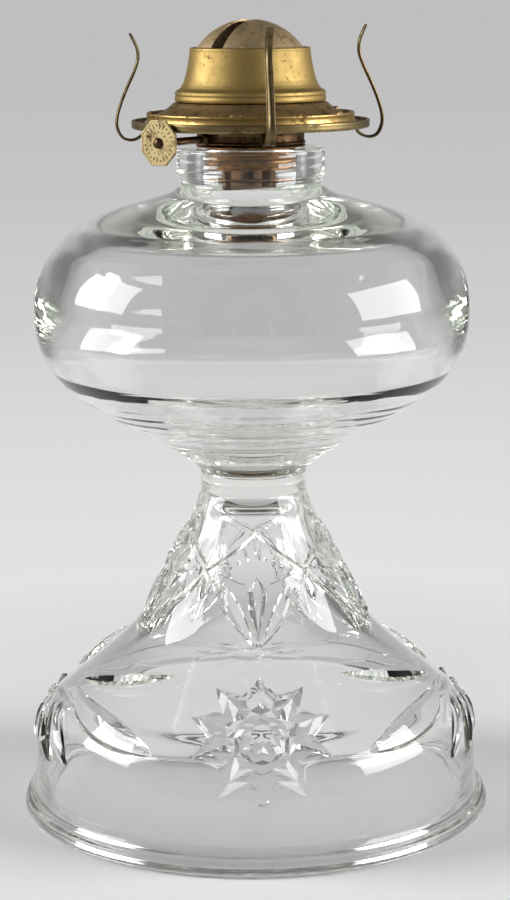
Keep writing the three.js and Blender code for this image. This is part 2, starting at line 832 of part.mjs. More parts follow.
function sprocket(side) {
  const shape = new THREE.Shape(Array.from({ length: 2 * sprocketTeeth }, (_, i) => {
    const turn = (i * Math.PI) / sprocketTeeth;
    const radius = i % 2 === 0 ? sprocketRadius : sprocketRadius * sprocketRootShare;
    return vector(radius * Math.cos(turn), radius * Math.sin(turn));
  }));
  shape.holes.push(new THREE.Path().absarc(0, 0, shaftRadius + clearance, 0, 2 * Math.PI));
  const middle = side * sprocketSpread;
  return raised(shape, middle - sprocketThickness / 2, middle + sprocketThickness / 2)
    .rotateY(Math.PI / 2)
    .translate(0, -shaftOffset, shaftZ);
}

function sprocketBox() {
  const room = sprocketRadius + boxRoom;
  const face = -tubeThickness / 2 - clearance;
  const depth = -shaftOffset - room;
  const body = block(
    [-boxHalfLength, depth - boxWall, shaftZ - room - boxWall],
    [boxHalfLength, face, shaftZ + room + boxWall],
  );
  const inside = block(
    [boxWall - boxHalfLength, depth, shaftZ - room],
    [boxHalfLength - boxWall, face + overrun, shaftZ + room],
  );
  const hole = shaftRod(
    shaftRadius + clearance,
    -boxHalfLength - overrun,
    boxHalfLength + overrun,
    pinSides,
  );
  return cut(body, [inside, hole]);
}

function shaftBush() {
  const reach = Math.sqrt(cupRadius ** 2 - shaftOffset ** 2);
  const body = shaftRod(shaftRadius + clearance + bushWall, reach - overrun, reach + bushLength, pinSides);
  const bore = shaftRod(shaftRadius + clearance, 0, reach + bushLength + overrun, pinSides);
  const cup = rod(cupRadius + clearance, cupBottom - cupHeight, cupTop + cupHeight, glassSegments);
  return cut(body, [bore, cup]);
}

function wickShaft() {
  return shaftRod(shaftRadius, -boxHalfLength - shaftTail, wheelReach + wheelThickness, pinSides);
}

function thumbWheel() {
  const shape = new THREE.Shape(Array.from({ length: wheelSides }, (_, i) => {
    const turn = ((i + 0.5) * 2 * Math.PI) / wheelSides;
    return vector(wheelRadius * Math.cos(turn), wheelRadius * Math.sin(turn));
  }));
  const disc = raised(shape, wheelReach, wheelReach + wheelThickness)
    .rotateY(Math.PI / 2)
    .translate(0, -shaftOffset, shaftZ);
  const hub = shaftRod(hubRadius, wheelReach - hubHeight, wheelReach + wheelThickness, pinSides);
  const bore = shaftRod(
    shaftRadius + clearance,
    wheelReach - hubHeight - overrun,
    wheelReach + wheelThickness + overrun,
    pinSides,
  );
  return cut(join(disc, [hub]), [bore]);
}

function wheelRivet() {
  const face = wheelReach + wheelThickness + clearance;
  const points = [vector(0, 0)];
  for (let i = 0; i <= arcSteps; i += 1) {
    const turn = (i * Math.PI) / (2 * arcSteps);
    points.push(vector(rivetRadius * Math.cos(turn), rivetHeight * Math.sin(turn)));
  }
  points[points.length - 1].x = 0;
  return turned(points, pinSides)
    .rotateY(Math.PI / 2)
    .translate(face, -shaftOffset, shaftZ);
}

// Finishes

const finish = (color, roughness, metalness) => (
  new THREE.MeshStandardMaterial({ color, roughness, metalness }));

const clearGlass = () => finish(0xd9e2dc, 0.05, 0);
const agedBrass = () => finish(0xa08a55, 0.35, 1);
const brightBrass = () => finish(0xb9a468, 0.28, 1);
const darkBrass = () => finish(0x6e5a38, 0.45, 1);
const cotton = () => finish(0xe6dfcc, 0.95, 0);

function named(name, geometry, material) {
  const mesh = new THREE.Mesh(geometry, material);
  mesh.name = name;
  return mesh;
}

// The lamp

const lamp = new THREE.Group();
lamp.add(named('glass_base', glassBase(), clearGlass()));
lamp.add(named('glass_font', glassFont(), clearGlass()));

const burner = new THREE.Group();
burner.rotation.z = burnerTurn;
burner.add(
  named('screw_ferrule', screwFerrule(), darkBrass()),
  named('burner_cup', burnerCup(), darkBrass()),
  named('air_pan', airPan(), darkBrass()),
  named('gallery', gallery(), agedBrass()),
  named('draft_deck', draftDeck(), darkBrass()),
  named('bell', bell(), agedBrass()),
  named('dome', dome(), brightBrass()),
  named('wick_tube', wickTube(), darkBrass()),
  named('vent_tube', ventTube(), darkBrass()),
  named('shaft_bush', shaftBush(), darkBrass()),
  named('sprocket_box', sprocketBox(), darkBrass()),
  named('wick_shaft', wickShaft(), darkBrass()),
  named('sprocket_inner', sprocket(-1), darkBrass()),
  named('sprocket_outer', sprocket(1), darkBrass()),
  named('thumb_wheel', thumbWheel(), brightBrass()),
  named('wheel_rivet', wheelRivet(), darkBrass()),
  named('wick', wick(), cotton()),
);
lamp.add(burner);

prongSides.forEach((side, i) => {
  const mesh = named(`prong_${side}`, prong(), agedBrass());
  mesh.rotation.z = prongTurn + ((i - 1) * Math.PI) / 2;
  lamp.add(mesh);
});

export default lamp;
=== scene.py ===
# Kerosene lamp: the looks of its pressed glass, its brass burner and its wick,
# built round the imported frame. Metres, +Z up. Azimuths run from the front, -Y,
# towards +X.

import json
from collections import Counter
from math import asin, atan2, copysign, cos, degrees, exp, hypot, pi, radians, sin, sqrt, tan

import bmesh
import bpy
import numpy as np
from mathutils import Matrix, Vector


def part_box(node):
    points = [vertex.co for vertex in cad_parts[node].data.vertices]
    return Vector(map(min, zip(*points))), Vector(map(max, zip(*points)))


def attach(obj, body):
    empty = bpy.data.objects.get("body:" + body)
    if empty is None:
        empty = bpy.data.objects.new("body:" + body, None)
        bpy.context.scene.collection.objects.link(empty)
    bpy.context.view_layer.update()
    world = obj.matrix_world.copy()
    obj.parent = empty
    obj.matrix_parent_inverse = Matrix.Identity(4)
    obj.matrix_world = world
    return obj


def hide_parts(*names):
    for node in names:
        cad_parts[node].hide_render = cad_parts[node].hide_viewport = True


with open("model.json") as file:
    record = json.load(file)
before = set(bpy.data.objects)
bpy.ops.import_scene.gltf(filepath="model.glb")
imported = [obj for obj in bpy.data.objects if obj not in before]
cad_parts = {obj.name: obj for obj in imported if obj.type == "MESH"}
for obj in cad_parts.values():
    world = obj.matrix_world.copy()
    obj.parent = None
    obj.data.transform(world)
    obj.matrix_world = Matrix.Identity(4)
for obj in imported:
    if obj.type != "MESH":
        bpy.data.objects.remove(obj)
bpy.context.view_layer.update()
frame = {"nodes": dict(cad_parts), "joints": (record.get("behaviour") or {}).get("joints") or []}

MM = 0.001

# The camera, as fitted to the photograph

CAMERA_PLACE = Vector((0, -0.77524, 0.27187))
CAMERA_PITCH = 0.191216
CAMERA_YAW = 0.000796
CAMERA_ROLL = -0.00771
FOCAL_PIXELS = 2345.9
FRAME_PIXELS = 900
SENSOR_MM = 36

# Studio. Stops are (share of the way, grey).

SOFTBOX_DISTANCE = 1.3
SOFTBOX_AIM = 0.17
SOFTBOX_RADIANCE = 8.5
# azimuth, elevation, width and height in degrees, as the lamp sees them
SOFTBOXES = {"softbox_left": (-86, 21, 36, 29), "softbox_right": (76, 16, 40, 29)}
WORLD_LOW = 0.52
WORLD_HIGH = 0.07
WORLD_BEHIND_CAMERA = 0.17
WORLD_STOPS = [(0, WORLD_LOW), (0.17, WORLD_LOW), (0.4, 0.5), (0.56, WORLD_HIGH), (1, WORLD_HIGH)]
# what glass and brass show beside the pale backdrop: how dark it is, and where it starts and ends,
# as the sine of the angle off the middle and, on the floor, as metres from the middle too
SIDE_DARK = 0.2
SIDE_STARTS = (0.25, 0.44)
SIDE_ENDS = (0.75, 0.9)
SIDE_FLOOR = (0.3, 0.6)
FLOOR_RADIUS = 40
FLOOR_DROP = 0.03 * MM
FLOOR_NEAR = 0.12
FLOOR_FAR = 0.32
FLOOR_SPAN = 6
FLOOR_STOPS = [(0, 0.79), (0.05, 0.77), (0.08, 0.74), (0.2, 0.62), (0.42, 0.56), (1, WORLD_LOW)]
# the paper's grey from the middle outwards: the lighter grey under the lamp is a painted pool of the light
# that comes down through the glass
PAPER_AND_PAINTED_LIGHT_STOPS = [(0, 0.95), (1, 0.9)]

# Glass

GLASS_SEGMENTS = 288
PATTERN_TURN = radians(1.7)

# What the frame gives

base_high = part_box("glass_base")[1]
font_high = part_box("glass_font")[1]
RIM_RADIUS = base_high.x
BASE_HEIGHT = base_high.z
MOUTH = font_high.z
FONT_RADIUS = font_high.x
SKIRT_RADIUS = RIM_RADIUS - 4 * MM
RIM_HEIGHT = 5.3 * MM
JOIN_RADIUS = 17.7 * MM
WAIST_HEIGHT = BASE_HEIGHT - 8 * MM
CAVITY_TOP = BASE_HEIGHT - 12.4 * MM
FONT_WALL = 3.7 * MM
NECK_RADIUS = 24.5 * MM
BORE_RADIUS = 16.9 * MM
THREAD_PITCH = 3 * MM
THREAD_DEPTH = 0.12 * MM

BURNER_AXIS = next(j for j in frame["joints"] if j["name"] == "knob_turn")
BURNER_TURN = atan2(BURNER_AXIS["axis"][1], BURNER_AXIS["axis"][0])


# Outlines


def smooth(points, spacing):
    """A curve through the points, resampled at about the spacing given."""
    p = np.array(points, float)
    p = np.vstack([2 * p[0] - p[1], p, 2 * p[-1] - p[-2]])
    t = np.linspace(0, 1, 24, endpoint=False)[:, None]
    runs = []
    for a, b, c, d in zip(p, p[1:], p[2:], p[3:]):
        runs.append(0.5 * (2 * b + (c - a) * t + (2 * a - 5 * b + 4 * c - d) * t**2
                           + (3 * b - a - 3 * c + d) * t**3))
    return resample(np.vstack([*runs, p[-2]]), spacing)


def lengths(points):
    return np.concatenate([[0], np.cumsum(np.linalg.norm(np.diff(points, axis=0), axis=1))])


def resample(points, spacing):
    points = np.array(points, float)
    along = lengths(points)
    stations = np.linspace(0, along[-1], max(2, round(along[-1] / spacing) + 1))
    return np.column_stack([np.interp(stations, along, points[:, k]) for k in (0, 1)])


def sideways(points, distance):
    """The outline moved to the left of its direction."""
    p = np.array(points, float)
    along = np.vstack([p[1] - p[0], p[2:] - p[:-2], p[-1] - p[-2]])
    along /= np.linalg.norm(along, axis=1)[:, None]
    return p + distance * np.column_stack([-along[:, 1], along[:, 0]])


def arc(centre, radius, start, end, steps):
    """Points of an arc in degrees, in the plane of radius and height."""
    turns = np.radians(np.linspace(start, end, steps))
    return np.column_stack([centre[0] + radius * np.cos(turns), centre[1] + radius * np.sin(turns)])


def spread(shares, inner, outer, low, high):
    return [(inner + (outer - inner) * r, low + (high - low) * z) for r, z in shares]


def off(radius, z, *steps):
    """Points at steps in millimetres, outwards and up, from one point."""
    return [(radius + out * MM, z + rise * MM) for out, rise in steps]


# Meshes


def add(name, data):
    obj = bpy.data.objects.new(name, data)
    bpy.context.scene.collection.objects.link(obj)
    return obj


def piece(name, verts, faces, body=None, material=None, slot=None):
    mesh = bpy.data.meshes.new(name)
    mesh.from_pydata([tuple(v) for v in verts], [], faces)
    mesh.update()
    obj = add(name, mesh)
    if material:
        mesh.materials.append(MATERIALS[material])
    if body:
        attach(obj, body)
    return obj


def recoat(obj, material):
    obj.data.materials.clear()
    obj.data.materials.append(MATERIALS[material])


def shade(obj, angle):
    """Smooth shading, with edges kept sharp past the angle in degrees."""
    obj.data.polygons.foreach_set("use_smooth", [True] * len(obj.data.polygons))
    obj.data.set_sharp_from_angle(angle=radians(angle))
    return obj


def lathe(outline, segments, radius_at=None, loop=False):
    """Vertices and faces of an outline turned about Z. Points on the axis become one vertex."""
    turns = np.arange(segments) * 2 * pi / segments
    verts, rings = [], []
    for radius, z in outline:
        start = len(verts)
        if radius < 1e-7:
            rings.append([start] * segments)
            verts.append((0.0, 0.0, z))
            continue
        radii = radius_at(radius, z, turns) if radius_at else np.full(segments, radius)
        rings.append(range(start, start + segments))
        verts.extend(zip(radii * np.sin(turns), -radii * np.cos(turns), np.full(segments, z)))
    faces = []
    for low, high in zip(rings, rings[1:] + rings[:loop]):
        for i in range(segments):
            k = (i + 1) % segments
            face = tuple(dict.fromkeys((low[i], low[k], high[k], high[i])))
            if len(face) > 2:
                faces.append(face)
    return verts, faces


def tube_faces(rows, count):
    """Faces of a closed skin round rows of points, with one face on each end."""
    last = (rows - 1) * count
    faces = [tuple(range(count)), tuple(reversed(range(last, last + count)))]
    for i in range(rows - 1):
        for k in range(count):
            a, b = i * count + k, i * count + (k + 1) % count
            faces.append((a, a + count, b + count, b))
    return faces


def outward(obj):
    work = bmesh.new()
    work.from_mesh(obj.data)
    bmesh.ops.recalc_face_normals(work, faces=work.faces)
    work.to_mesh(obj.data)
    work.free()
    return obj


def combine(obj, tools, operation):
    """Joins or cuts a closed mesh with others, which are then removed."""
    for tool in tools:
        step = obj.modifiers.new("join", "BOOLEAN")
        step.operation, step.solver, step.object = operation, "MANIFOLD", tool
    graph = bpy.context.evaluated_depsgraph_get()
    mesh = bpy.data.meshes.new_from_object(obj.evaluated_get(graph))
    obj.modifiers.clear()
    old = obj.data
    obj.data = mesh
    bpy.data.meshes.remove(old)
    mesh.name = obj.name
    for tool in tools:
        data = tool.data
        bpy.data.objects.remove(tool)
        bpy.data.meshes.remove(data)
    return obj


# Node materials


def plug(tree, made, inputs):
    """Sets a node's inputs to values or to other nodes' outputs."""
    for key, value in inputs.items():
        if isinstance(value, bpy.types.NodeSocket):
            tree.links.new(value, made.inputs[key])
        else:
            made.inputs[key].default_value = value


def node(tree, kind, inputs=None, **settings):
    made = tree.nodes.new(f"ShaderNode{kind}")
    for key, value in settings.items():
        setattr(made, key, value)
    plug(tree, made, inputs or {})
    return made


def new_material(name):
    """A material, its tree, shader and output, and the place on the object."""
    material = bpy.data.materials.new(name)
    material.use_nodes = True
    tree = material.node_tree
    tree.nodes.clear()
    shader = node(tree, "BsdfPrincipled")
    output = node(tree, "OutputMaterial", {"Surface": shader.outputs[0]})
    return material, tree, shader, output, node(tree, "TexCoord").outputs["Object"]


def maths(tree, operation, *values, clamp=False):
    made = node(tree, "Math", dict(enumerate(values)), operation=operation, use_clamp=clamp)
    return made.outputs[0]


def part_of(tree, place, axis):
    """The X, Y or Z of a place, as 0, 1 or 2."""
    return node(tree, "SeparateXYZ", {0: place}).outputs[axis]


def bumped(tree, height, strength, distance):
    made = node(tree, "Bump", {"Strength": strength, "Distance": distance, "Height": height})
    return made.outputs[0]


def grey(value):
    return (value, value, value, 1)


def ramp(tree, factor, stops):
    """A grey for the factor from stops of (share, grey)."""
    made = node(tree, "ValToRGB", {"Fac": factor})
    elements = made.color_ramp.elements
    while len(elements) < len(stops):
        elements.new(0.5)
    for element, (share, value) in zip(elements, stops):
        element.position = share
        element.color = grey(value)
    return made.outputs["Color"]


def noise(tree, place, scale, detail, roughness):
    made = node(tree, "TexNoise", {
        "Vector": place, "Scale": scale, "Detail": detail, "Roughness": roughness})
    return made.outputs["Fac"]


def remap(tree, value, low, high, to_low=0, to_high=1):
    made = node(tree, "MapRange", {
        "Value": value, "From Min": low, "From Max": high, "To Min": to_low, "To Max": to_high}, clamp=True)
    return made.outputs["Result"]


def mixed(tree, factor, a, b):
    return node(tree, "Mix", {0: factor, 6: a, 7: b}, data_type="RGBA").outputs[2]


def dimmed(tree, colour, behind, beside, sine):
    """The colour, darker by the share that lies behind the camera where the camera doesn't see it,
    and darker beside the backdrop in what glass and brass show. The softboxes' places stay as they are."""
    path = node(tree, "LightPath").outputs
    behind = maths(tree, "SUBTRACT", behind, path["Is Camera Ray"], clamp=True)
    colour = mixed(tree, behind, colour, grey(WORLD_BEHIND_CAMERA))
    for share in (remap(tree, sine, *SIDE_STARTS), remap(tree, sine, *SIDE_ENDS, 1, 0),
                  maths(tree, "MAXIMUM", path["Is Glossy Ray"], path["Is Transmission Ray"])):
        beside = maths(tree, "MULTIPLY", beside, share)
    return mixed(tree, beside, colour, grey(SIDE_DARK))


def brass(name, bright, dull, stain, rough, stain_share, pits=0.5, bump=0.25, stain_scale=210):
    """Old brass: two tones in soft clouds, darker stains, small pits and fine scratches."""
    material, tree, shader, _, place = new_material(name)
    clouds = noise(tree, place, 55, 5, 0.62)
    tone = mixed(tree, remap(tree, clouds, 0.38, 0.64), (*bright, 1), (*dull, 1))
    marks = noise(tree, place, stain_scale, 6, 0.7)
    marked = remap(tree, marks, 0.62 - 0.2 * stain_share, 0.74 - 0.1 * stain_share, 0, 0.85)
    tone = mixed(tree, marked, tone, (*stain, 1))
    cells = node(tree, "TexVoronoi", {"Vector": place, "Scale": 420, "Randomness": 1})
    dots = remap(tree, cells.outputs["Distance"], 0.1, 0.2, 1, 0)
    kept = remap(tree, noise(tree, place, 130, 2, 0.5), 0.5, 0.6, 0, pits)
    pitted = maths(tree, "MULTIPLY", dots, kept)
    tone = mixed(tree, pitted, tone, (*[c * 0.25 for c in stain], 1))
    grain = noise(tree, place, 900, 3, 0.6)
    rougher = remap(tree, clouds, 0.35, 0.7, rough - 0.05, rough + 0.09)
    plug(tree, shader, {
        "Base Color": tone, "Metallic": 1, "Roughness": maths(tree, "MULTIPLY_ADD", marked, grain, rougher),
        "Normal": bumped(tree, maths(tree, "SUBTRACT", grain, pitted), bump, 0.12 * MM)})
    return material


def glass():
    """Old soda glass: clear, a trace of green in its depth, faint waves in the surface."""
    material, tree, shader, output, place = new_material("clear_glass")
    waves = maths(tree, "MULTIPLY_ADD", noise(tree, place, 42, 2, 0.4), 40, noise(tree, place, 260, 2, 0.5))
    plug(tree, shader, {
        "Base Color": (1, 1, 1, 1), "Roughness": 0, "IOR": 1.5, "Transmission Weight": 1,
        "Normal": bumped(tree, waves, 0.35, 0.008 * MM)})
    depth = node(tree, "VolumeAbsorption", {"Color": (0.7, 0.8, 0.58, 1), "Density": 4})
    plug(tree, output, {"Volume": depth.outputs[0]})
    return material


def threads(tree, place, scale, distortion, direction):
    made = node(tree, "TexWave", {
        "Vector": place, "Scale": scale, "Distortion": distortion, "Detail": 2}, bands_direction=direction)
    return made.outputs["Fac"]


def cotton():
    """Woven wick: cream cotton with ribs along it and cross threads."""
    material, tree, shader, _, place = new_material("wick_cotton")
    spun = node(tree, "Mapping", {"Vector": place, "Rotation": (0, 0, -BURNER_TURN)}).outputs[0]
    weave = maths(tree, "MULTIPLY", threads(tree, spun, 260, 0.6, "X"), threads(tree, spun, 190, 0.8, "Z"))
    plug(tree, shader, {
        "Base Color": mixed(tree, weave, (0.42, 0.36, 0.26, 1), (0.78, 0.72, 0.6, 1)),
        "Roughness": 0.95, "Sheen Weight": 0.3, "Normal": bumped(tree, weave, 0.7, 0.3 * MM)})
    return material


# bright, dull and stained tone, roughness, and share of stains, then strength of pits and bumps
# and scale of stains where they aren't the usual
BRASSES = {
    "bell": ((0.44, 0.31, 0.11), (0.345, 0.243, 0.085), (0.2, 0.125, 0.05), 0.53, 0.1, 0.5, 0.25, 480),
    "dome": ((0.78, 0.6, 0.35), (0.58, 0.44, 0.245), (0.25, 0.16, 0.085), 0.45, 0.9),
    "ring": ((0.56, 0.38, 0.135), (0.4, 0.265, 0.092), (0.14, 0.085, 0.035), 0.36, 0.7),
    "lip": ((0.27, 0.2, 0.09), (0.18, 0.14, 0.06), (0.07, 0.05, 0.024), 0.36, 0.6),
    "deck": ((0.48, 0.33, 0.155), (0.3, 0.2, 0.095), (0.08, 0.05, 0.025), 0.45, 1, 0.8),
    "cup": ((0.165, 0.094, 0.049), (0.094, 0.053, 0.028), (0.03, 0.018, 0.01), 0.4, 0.6),
    "ferrule": ((0.34, 0.18, 0.075), (0.22, 0.12, 0.052), (0.09, 0.052, 0.026), 0.36, 0.6),
    "prong": ((0.2, 0.145, 0.07), (0.13, 0.095, 0.05), (0.045, 0.03, 0.017), 0.36, 0.5, 0.2, 0.12),
    "wheel": ((0.41, 0.325, 0.165), (0.33, 0.26, 0.13), (0.16, 0.115, 0.055), 0.42, 0.5),
    "rivet": ((0.16, 0.095, 0.045), (0.09, 0.055, 0.028), (0.03, 0.018, 0.01), 0.36, 0.6),
}
MATERIALS = {"glass": glass()}
for name, look in BRASSES.items():
    MATERIALS[name] = brass(f"{name}_brass", *look)
MATERIALS["cotton"] = cotton()


# Camera, light and floor


def make_camera():
    data = bpy.data.cameras.new("camera")
    data.sensor_width = SENSOR_MM
    data.lens = FOCAL_PIXELS * SENSOR_MM / FRAME_PIXELS
    data.clip_start, data.clip_end = 0.01, 200
    obj = add("camera", data)
    tilt = Matrix.Rotation(pi / 2 - CAMERA_PITCH, 4, "X") @ Matrix.Rotation(CAMERA_ROLL, 4, "Z")
    obj.matrix_world = Matrix.Translation(CAMERA_PLACE) @ Matrix.Rotation(-CAMERA_YAW, 4, "Z") @ tilt
    bpy.context.scene.camera = obj


def make_softbox(name, angles):
    azimuth, elevation, width, height = np.radians(angles)
    toward = Vector((sin(azimuth) * cos(elevation), -cos(azimuth) * cos(elevation), sin(elevation)))
    data = bpy.data.lights.new(name, "AREA")
    data.shape = "RECTANGLE"
    data.size, data.size_y = (2 * SOFTBOX_DISTANCE * tan(angle / 2) for angle in (width, height))
    data.energy = SOFTBOX_RADIANCE * pi * data.size * data.size_y
    obj = add(name, data)
    place = Vector((0, 0, SOFTBOX_AIM)) + toward * SOFTBOX_DISTANCE
    obj.matrix_world = Matrix.Translation(place) @ toward.to_track_quat("Z", "Y").to_matrix().to_4x4()
    obj.visible_camera = False


def make_world():
    world = bpy.data.worlds.new("studio")
    bpy.context.scene.world = world
    world.use_nodes = True
    tree = world.node_tree
    tree.nodes.clear()
    place = node(tree, "TexCoord").outputs["Generated"]
    colour = ramp(tree, remap(tree, part_of(tree, place, 2), -0.2, 1), WORLD_STOPS)
    behind = remap(tree, part_of(tree, place, 1), -0.75, -0.25, 1, 0)
    colour = dimmed(tree, colour, behind, 1, maths(tree, "ABSOLUTE", part_of(tree, place, 0)))
    light = node(tree, "Background", {"Color": colour, "Strength": 1})
    node(tree, "OutputWorld", {0: light.outputs[0]})


def make_floor():
    """A pale sheet: lit and shadowed by the lamp's own light near it, with a painted pool of light on the
    paper right under the lamp; further away it glows without shadow, darker with distance.
    """
    rings = np.concatenate([[0], np.geomspace(0.02, FLOOR_RADIUS, 40)])
    floor = piece("floor", *lathe([(radius, -FLOOR_DROP) for radius in rings], 96))
    material, tree, shader, output, place = new_material("floor_paper")
    distance = node(tree, "VectorMath", {0: place}, operation="LENGTH").outputs["Value"]
    # the paper is painted a little lighter within a few centimetres of the middle: a painted pool of the
    # light that comes through the glass
    paper_and_painted_light = ramp(tree, remap(tree, distance, 0.05, 0.16), PAPER_AND_PAINTED_LIGHT_STOPS)
    plug(tree, shader, {"Base Color": paper_and_painted_light, "Roughness": 0.9, "Specular IOR Level": 0.1})
    colour = ramp(tree, remap(tree, distance, 0, FLOOR_SPAN), FLOOR_STOPS)
    behind = remap(tree, part_of(tree, place, 1), -1.6, -0.7, 1, 0)
    across = maths(tree, "ABSOLUTE", part_of(tree, place, 0))
    beside = remap(tree, across, *SIDE_FLOOR)
    colour = dimmed(tree, colour, behind, beside, maths(tree, "DIVIDE", across, distance))
    glow = node(tree, "Emission", {"Color": colour, "Strength": 1})
    path = node(tree, "LightPath").outputs
    seen = maths(tree, "MAXIMUM", path["Is Camera Ray"], path["Is Glossy Ray"])
    seen = maths(tree, "MAXIMUM", seen, path["Is Transmission Ray"])
    share = maths(tree, "MULTIPLY", remap(tree, distance, FLOOR_NEAR, FLOOR_FAR), seen)
    both = node(tree, "MixShader", {0: share, 1: shader.outputs[0], 2: glow.outputs[0]})
    plug(tree, output, {"Surface": both.outputs[0]})
    floor.data.materials.append(material)


# Glass: the plain outline of the foot, and places on its face

BASE_SHARES = [
    (1, 0.02), (0.993, 0.085), (0.983, 0.163), (0.951, 0.241), (0.889, 0.305), (0.776, 0.362),
    (0.577, 0.456), (0.421, 0.54), (0.322, 0.618), (0.213, 0.735), (0.12, 0.848), (0.05, 0.935),
    (0.009, 1),
]
# reach beyond the skirt and height, as shares of the rim's own step and height
RIM_SHARES = [
    (0.58, 0.05), (0.86, 0.12), (1, 0.27), (0.98, 0.45), (0.8, 0.56), (0.74, 0.6), (0.8, 0.66),
    (0.8, 0.78), (0.58, 0.88), (0.5, 0.92), (0.54, 0.99), (0.5, 1.12), (0.26, 1.2), (0.12, 1.3),
]
cone_line = smooth(
    spread(BASE_SHARES, JOIN_RADIUS, SKIRT_RADIUS, RIM_HEIGHT + 1.8 * MM, WAIST_HEIGHT), 0.9 * MM)
cone_arc = lengths(cone_line)
cone_along = np.gradient(cone_line, cone_arc, axis=0)


def arc_at(z):
    return float(np.interp(z, cone_line[:, 1], cone_arc))


def places(azimuth, side, *marks):
    """(azimuth, arc) places of marks in (degrees to one side, mm of height)."""
    return [(azimuth + side * radians(turn), arc_at(z * MM)) for turn, z in marks]


def cone_radius(along):
    return float(np.interp(along, cone_arc, cone_line[:, 0]))


def on_cone(azimuth, along, lift):
    """A place on the foot's face, moved out from it by lift."""
    radius, z = (np.interp(along, cone_arc, cone_line[:, k]) for k in (0, 1))
    run, rise = (np.interp(along, cone_arc, cone_along[:, k]) for k in (0, 1))
    radius, z = radius + rise * lift, z - run * lift
    azimuth = azimuth + PATTERN_TURN
    return (radius * sin(azimuth), -radius * cos(azimuth), z)


RELIEF_SINK = 0.3 * MM
RELIEF_ROOT = 1.6 * MM


def split(corners, faces):
    """Each triangle cut into four, so that a wide facet follows the curved face."""
    corners, halves, finer = list(corners), {}, []

    def half(a, b):
        key = (min(a, b), max(a, b))
        if key not in halves:
            halves[key] = len(corners)
            corners.append(tuple((p + q) / 2 for p, q in zip(corners[a], corners[b])))
        return halves[key]

    for a, b, c in faces:
        ab, bc, ca = half(a, b), half(b, c), half(c, a)
        finer += [(a, ab, ca), (ab, b, bc), (ca, bc, c), (ab, bc, ca)]
    return corners, finer


def relief(corners, faces, splits=0):
    """A raised motif. Corners are (azimuth, arc, lift); its edge and underside lie in the wall."""
    for _ in range(splits):
        corners, faces = split(corners, faces)
    uses = Counter(frozenset(pair) for face in faces for pair in zip(face, face[1:] + face[:1]))
    edge = {i for pair, count in uses.items() if count == 1 for i in pair}
    verts = [on_cone(a, s, -RELIEF_SINK if i in edge else lift) for i, (a, s, lift) in enumerate(corners)]
    under = {}
    for i, (a, s, _) in enumerate(corners):
        under[i] = i if i in edge else len(verts)
        if i not in edge:
            verts.append(on_cone(a, s, -RELIEF_ROOT))
    back = [tuple(under[i] for i in reversed(face)) for face in faces]
    return outward(piece("relief", verts, faces + back))


# the section of a rib: (side, lift)
ROUNDED = ((-1, 0), (-0.72, 0.66), (0, 1), (0.72, 0.66), (1, 0))
FLAT_TOPPED = ((-1, 0), (-0.5, 1), (0.5, 1), (1, 0))
LEAF_STEPS = 16
LEAF_FULLNESS = 0.8
BAR_STEPS = 10


def panel(first, rows, last):
    """A relief between two end corners, over rows of corners that are equally long."""
    corners = [first, *sum(rows, []), last]
    count, end = len(rows[0]), len(corners) - 1
    faces = []
    for k in range(1, count):
        faces += [(0, k, k + 1), (end, end - k, end - k - 1)]
        for a in range(k, end - count, count):
            faces += [(a, a + count, a + count + 1), (a, a + count + 1, a + 1)]
    return relief(corners, faces)


def strip(line, widths, ridges, profile):
    """A rib along a line of (azimuth, arc) places. The profile is (side, lift) across it."""
    rows = []
    stations = zip(line, line[1:], line[2:], widths[1:], ridges[1:])
    for before, (azimuth, along), after, width, ridge in stations:
        radius = cone_radius(along)
        run = Vector(((after[0] - before[0]) * radius, after[1] - before[1])).normalized() * width
        rows.append([(azimuth + side * run.y / radius, along - side * run.x, lift * ridge)
                     for side, lift in profile])
    return panel((*line[0], 0), rows, (*line[-1], 0))


def between(start, end, shares):
    return [(start[0] + (end[0] - start[0]) * t, start[1] + (end[1] - start[1]) * t) for t in shares]


def leaf(root, tip, half_width, ridge, lean=0.0, skew=1.0):
    """A pointed leaf between two (azimuth, arc) places, with its crest moved to one side by lean."""
    shares = np.linspace(0, 1, LEAF_STEPS + 1)
    swell = np.sin(pi * np.clip(shares, 0.001, 0.999) ** skew)
    profile = [(side + lean * (1 - abs(side)), lift) for side, lift in ROUNDED]
    return strip(between(root, tip, shares), half_width * swell**LEAF_FULLNESS, ridge * swell**0.5, profile)


def bar(start, end, half_width, ridge):
    """A narrow rib of even width between two (azimuth, arc) places."""
    line = between(start, end, [0, *np.linspace(0.03, 0.97, BAR_STEPS), 1])
    return strip(line, [half_width] * len(line), [ridge] * len(line), FLAT_TOPPED)


def gem(outline, plateau, lift):
    """A flat-topped facet. Both lists give (azimuth, arc) places in the same order."""
    corners = [(*place, 0) for place in outline] + [(*place, lift) for place in plateau]
    n = len(outline)
    corners.append((*np.mean(plateau, axis=0), lift))
    faces = []
    for i in range(n):
        k = (i + 1) % n
        faces += [(i, k, n + k), (i, n + k, n + i), (n + i, n + k, 2 * n)]
    return relief(corners, faces, 1)


STAR_HEIGHT = 41.2 * MM
STAR_POINTS = 10
# (reach, lift) of each ring in mm, first on the ridges and then in the valleys between them
STAR_RINGS = [
    ((3.4, 3.5), (3.2, 3.5)), ((5.6, 3.1), (6.3, 2.2)), ((7.6, 2), (7.4, 1.7)),
    ((8.9, 0.7), (8.7, 0.9)), ((11.8, 3), (10.6, 1.1)), ((17.5, 2.3), (14.6, 0.55)),
    ((24.6, 0), (18.45, 0)),
]
# how many of its rings belong to the button, whose facets turn the other way
STAR_BUTTON = 4


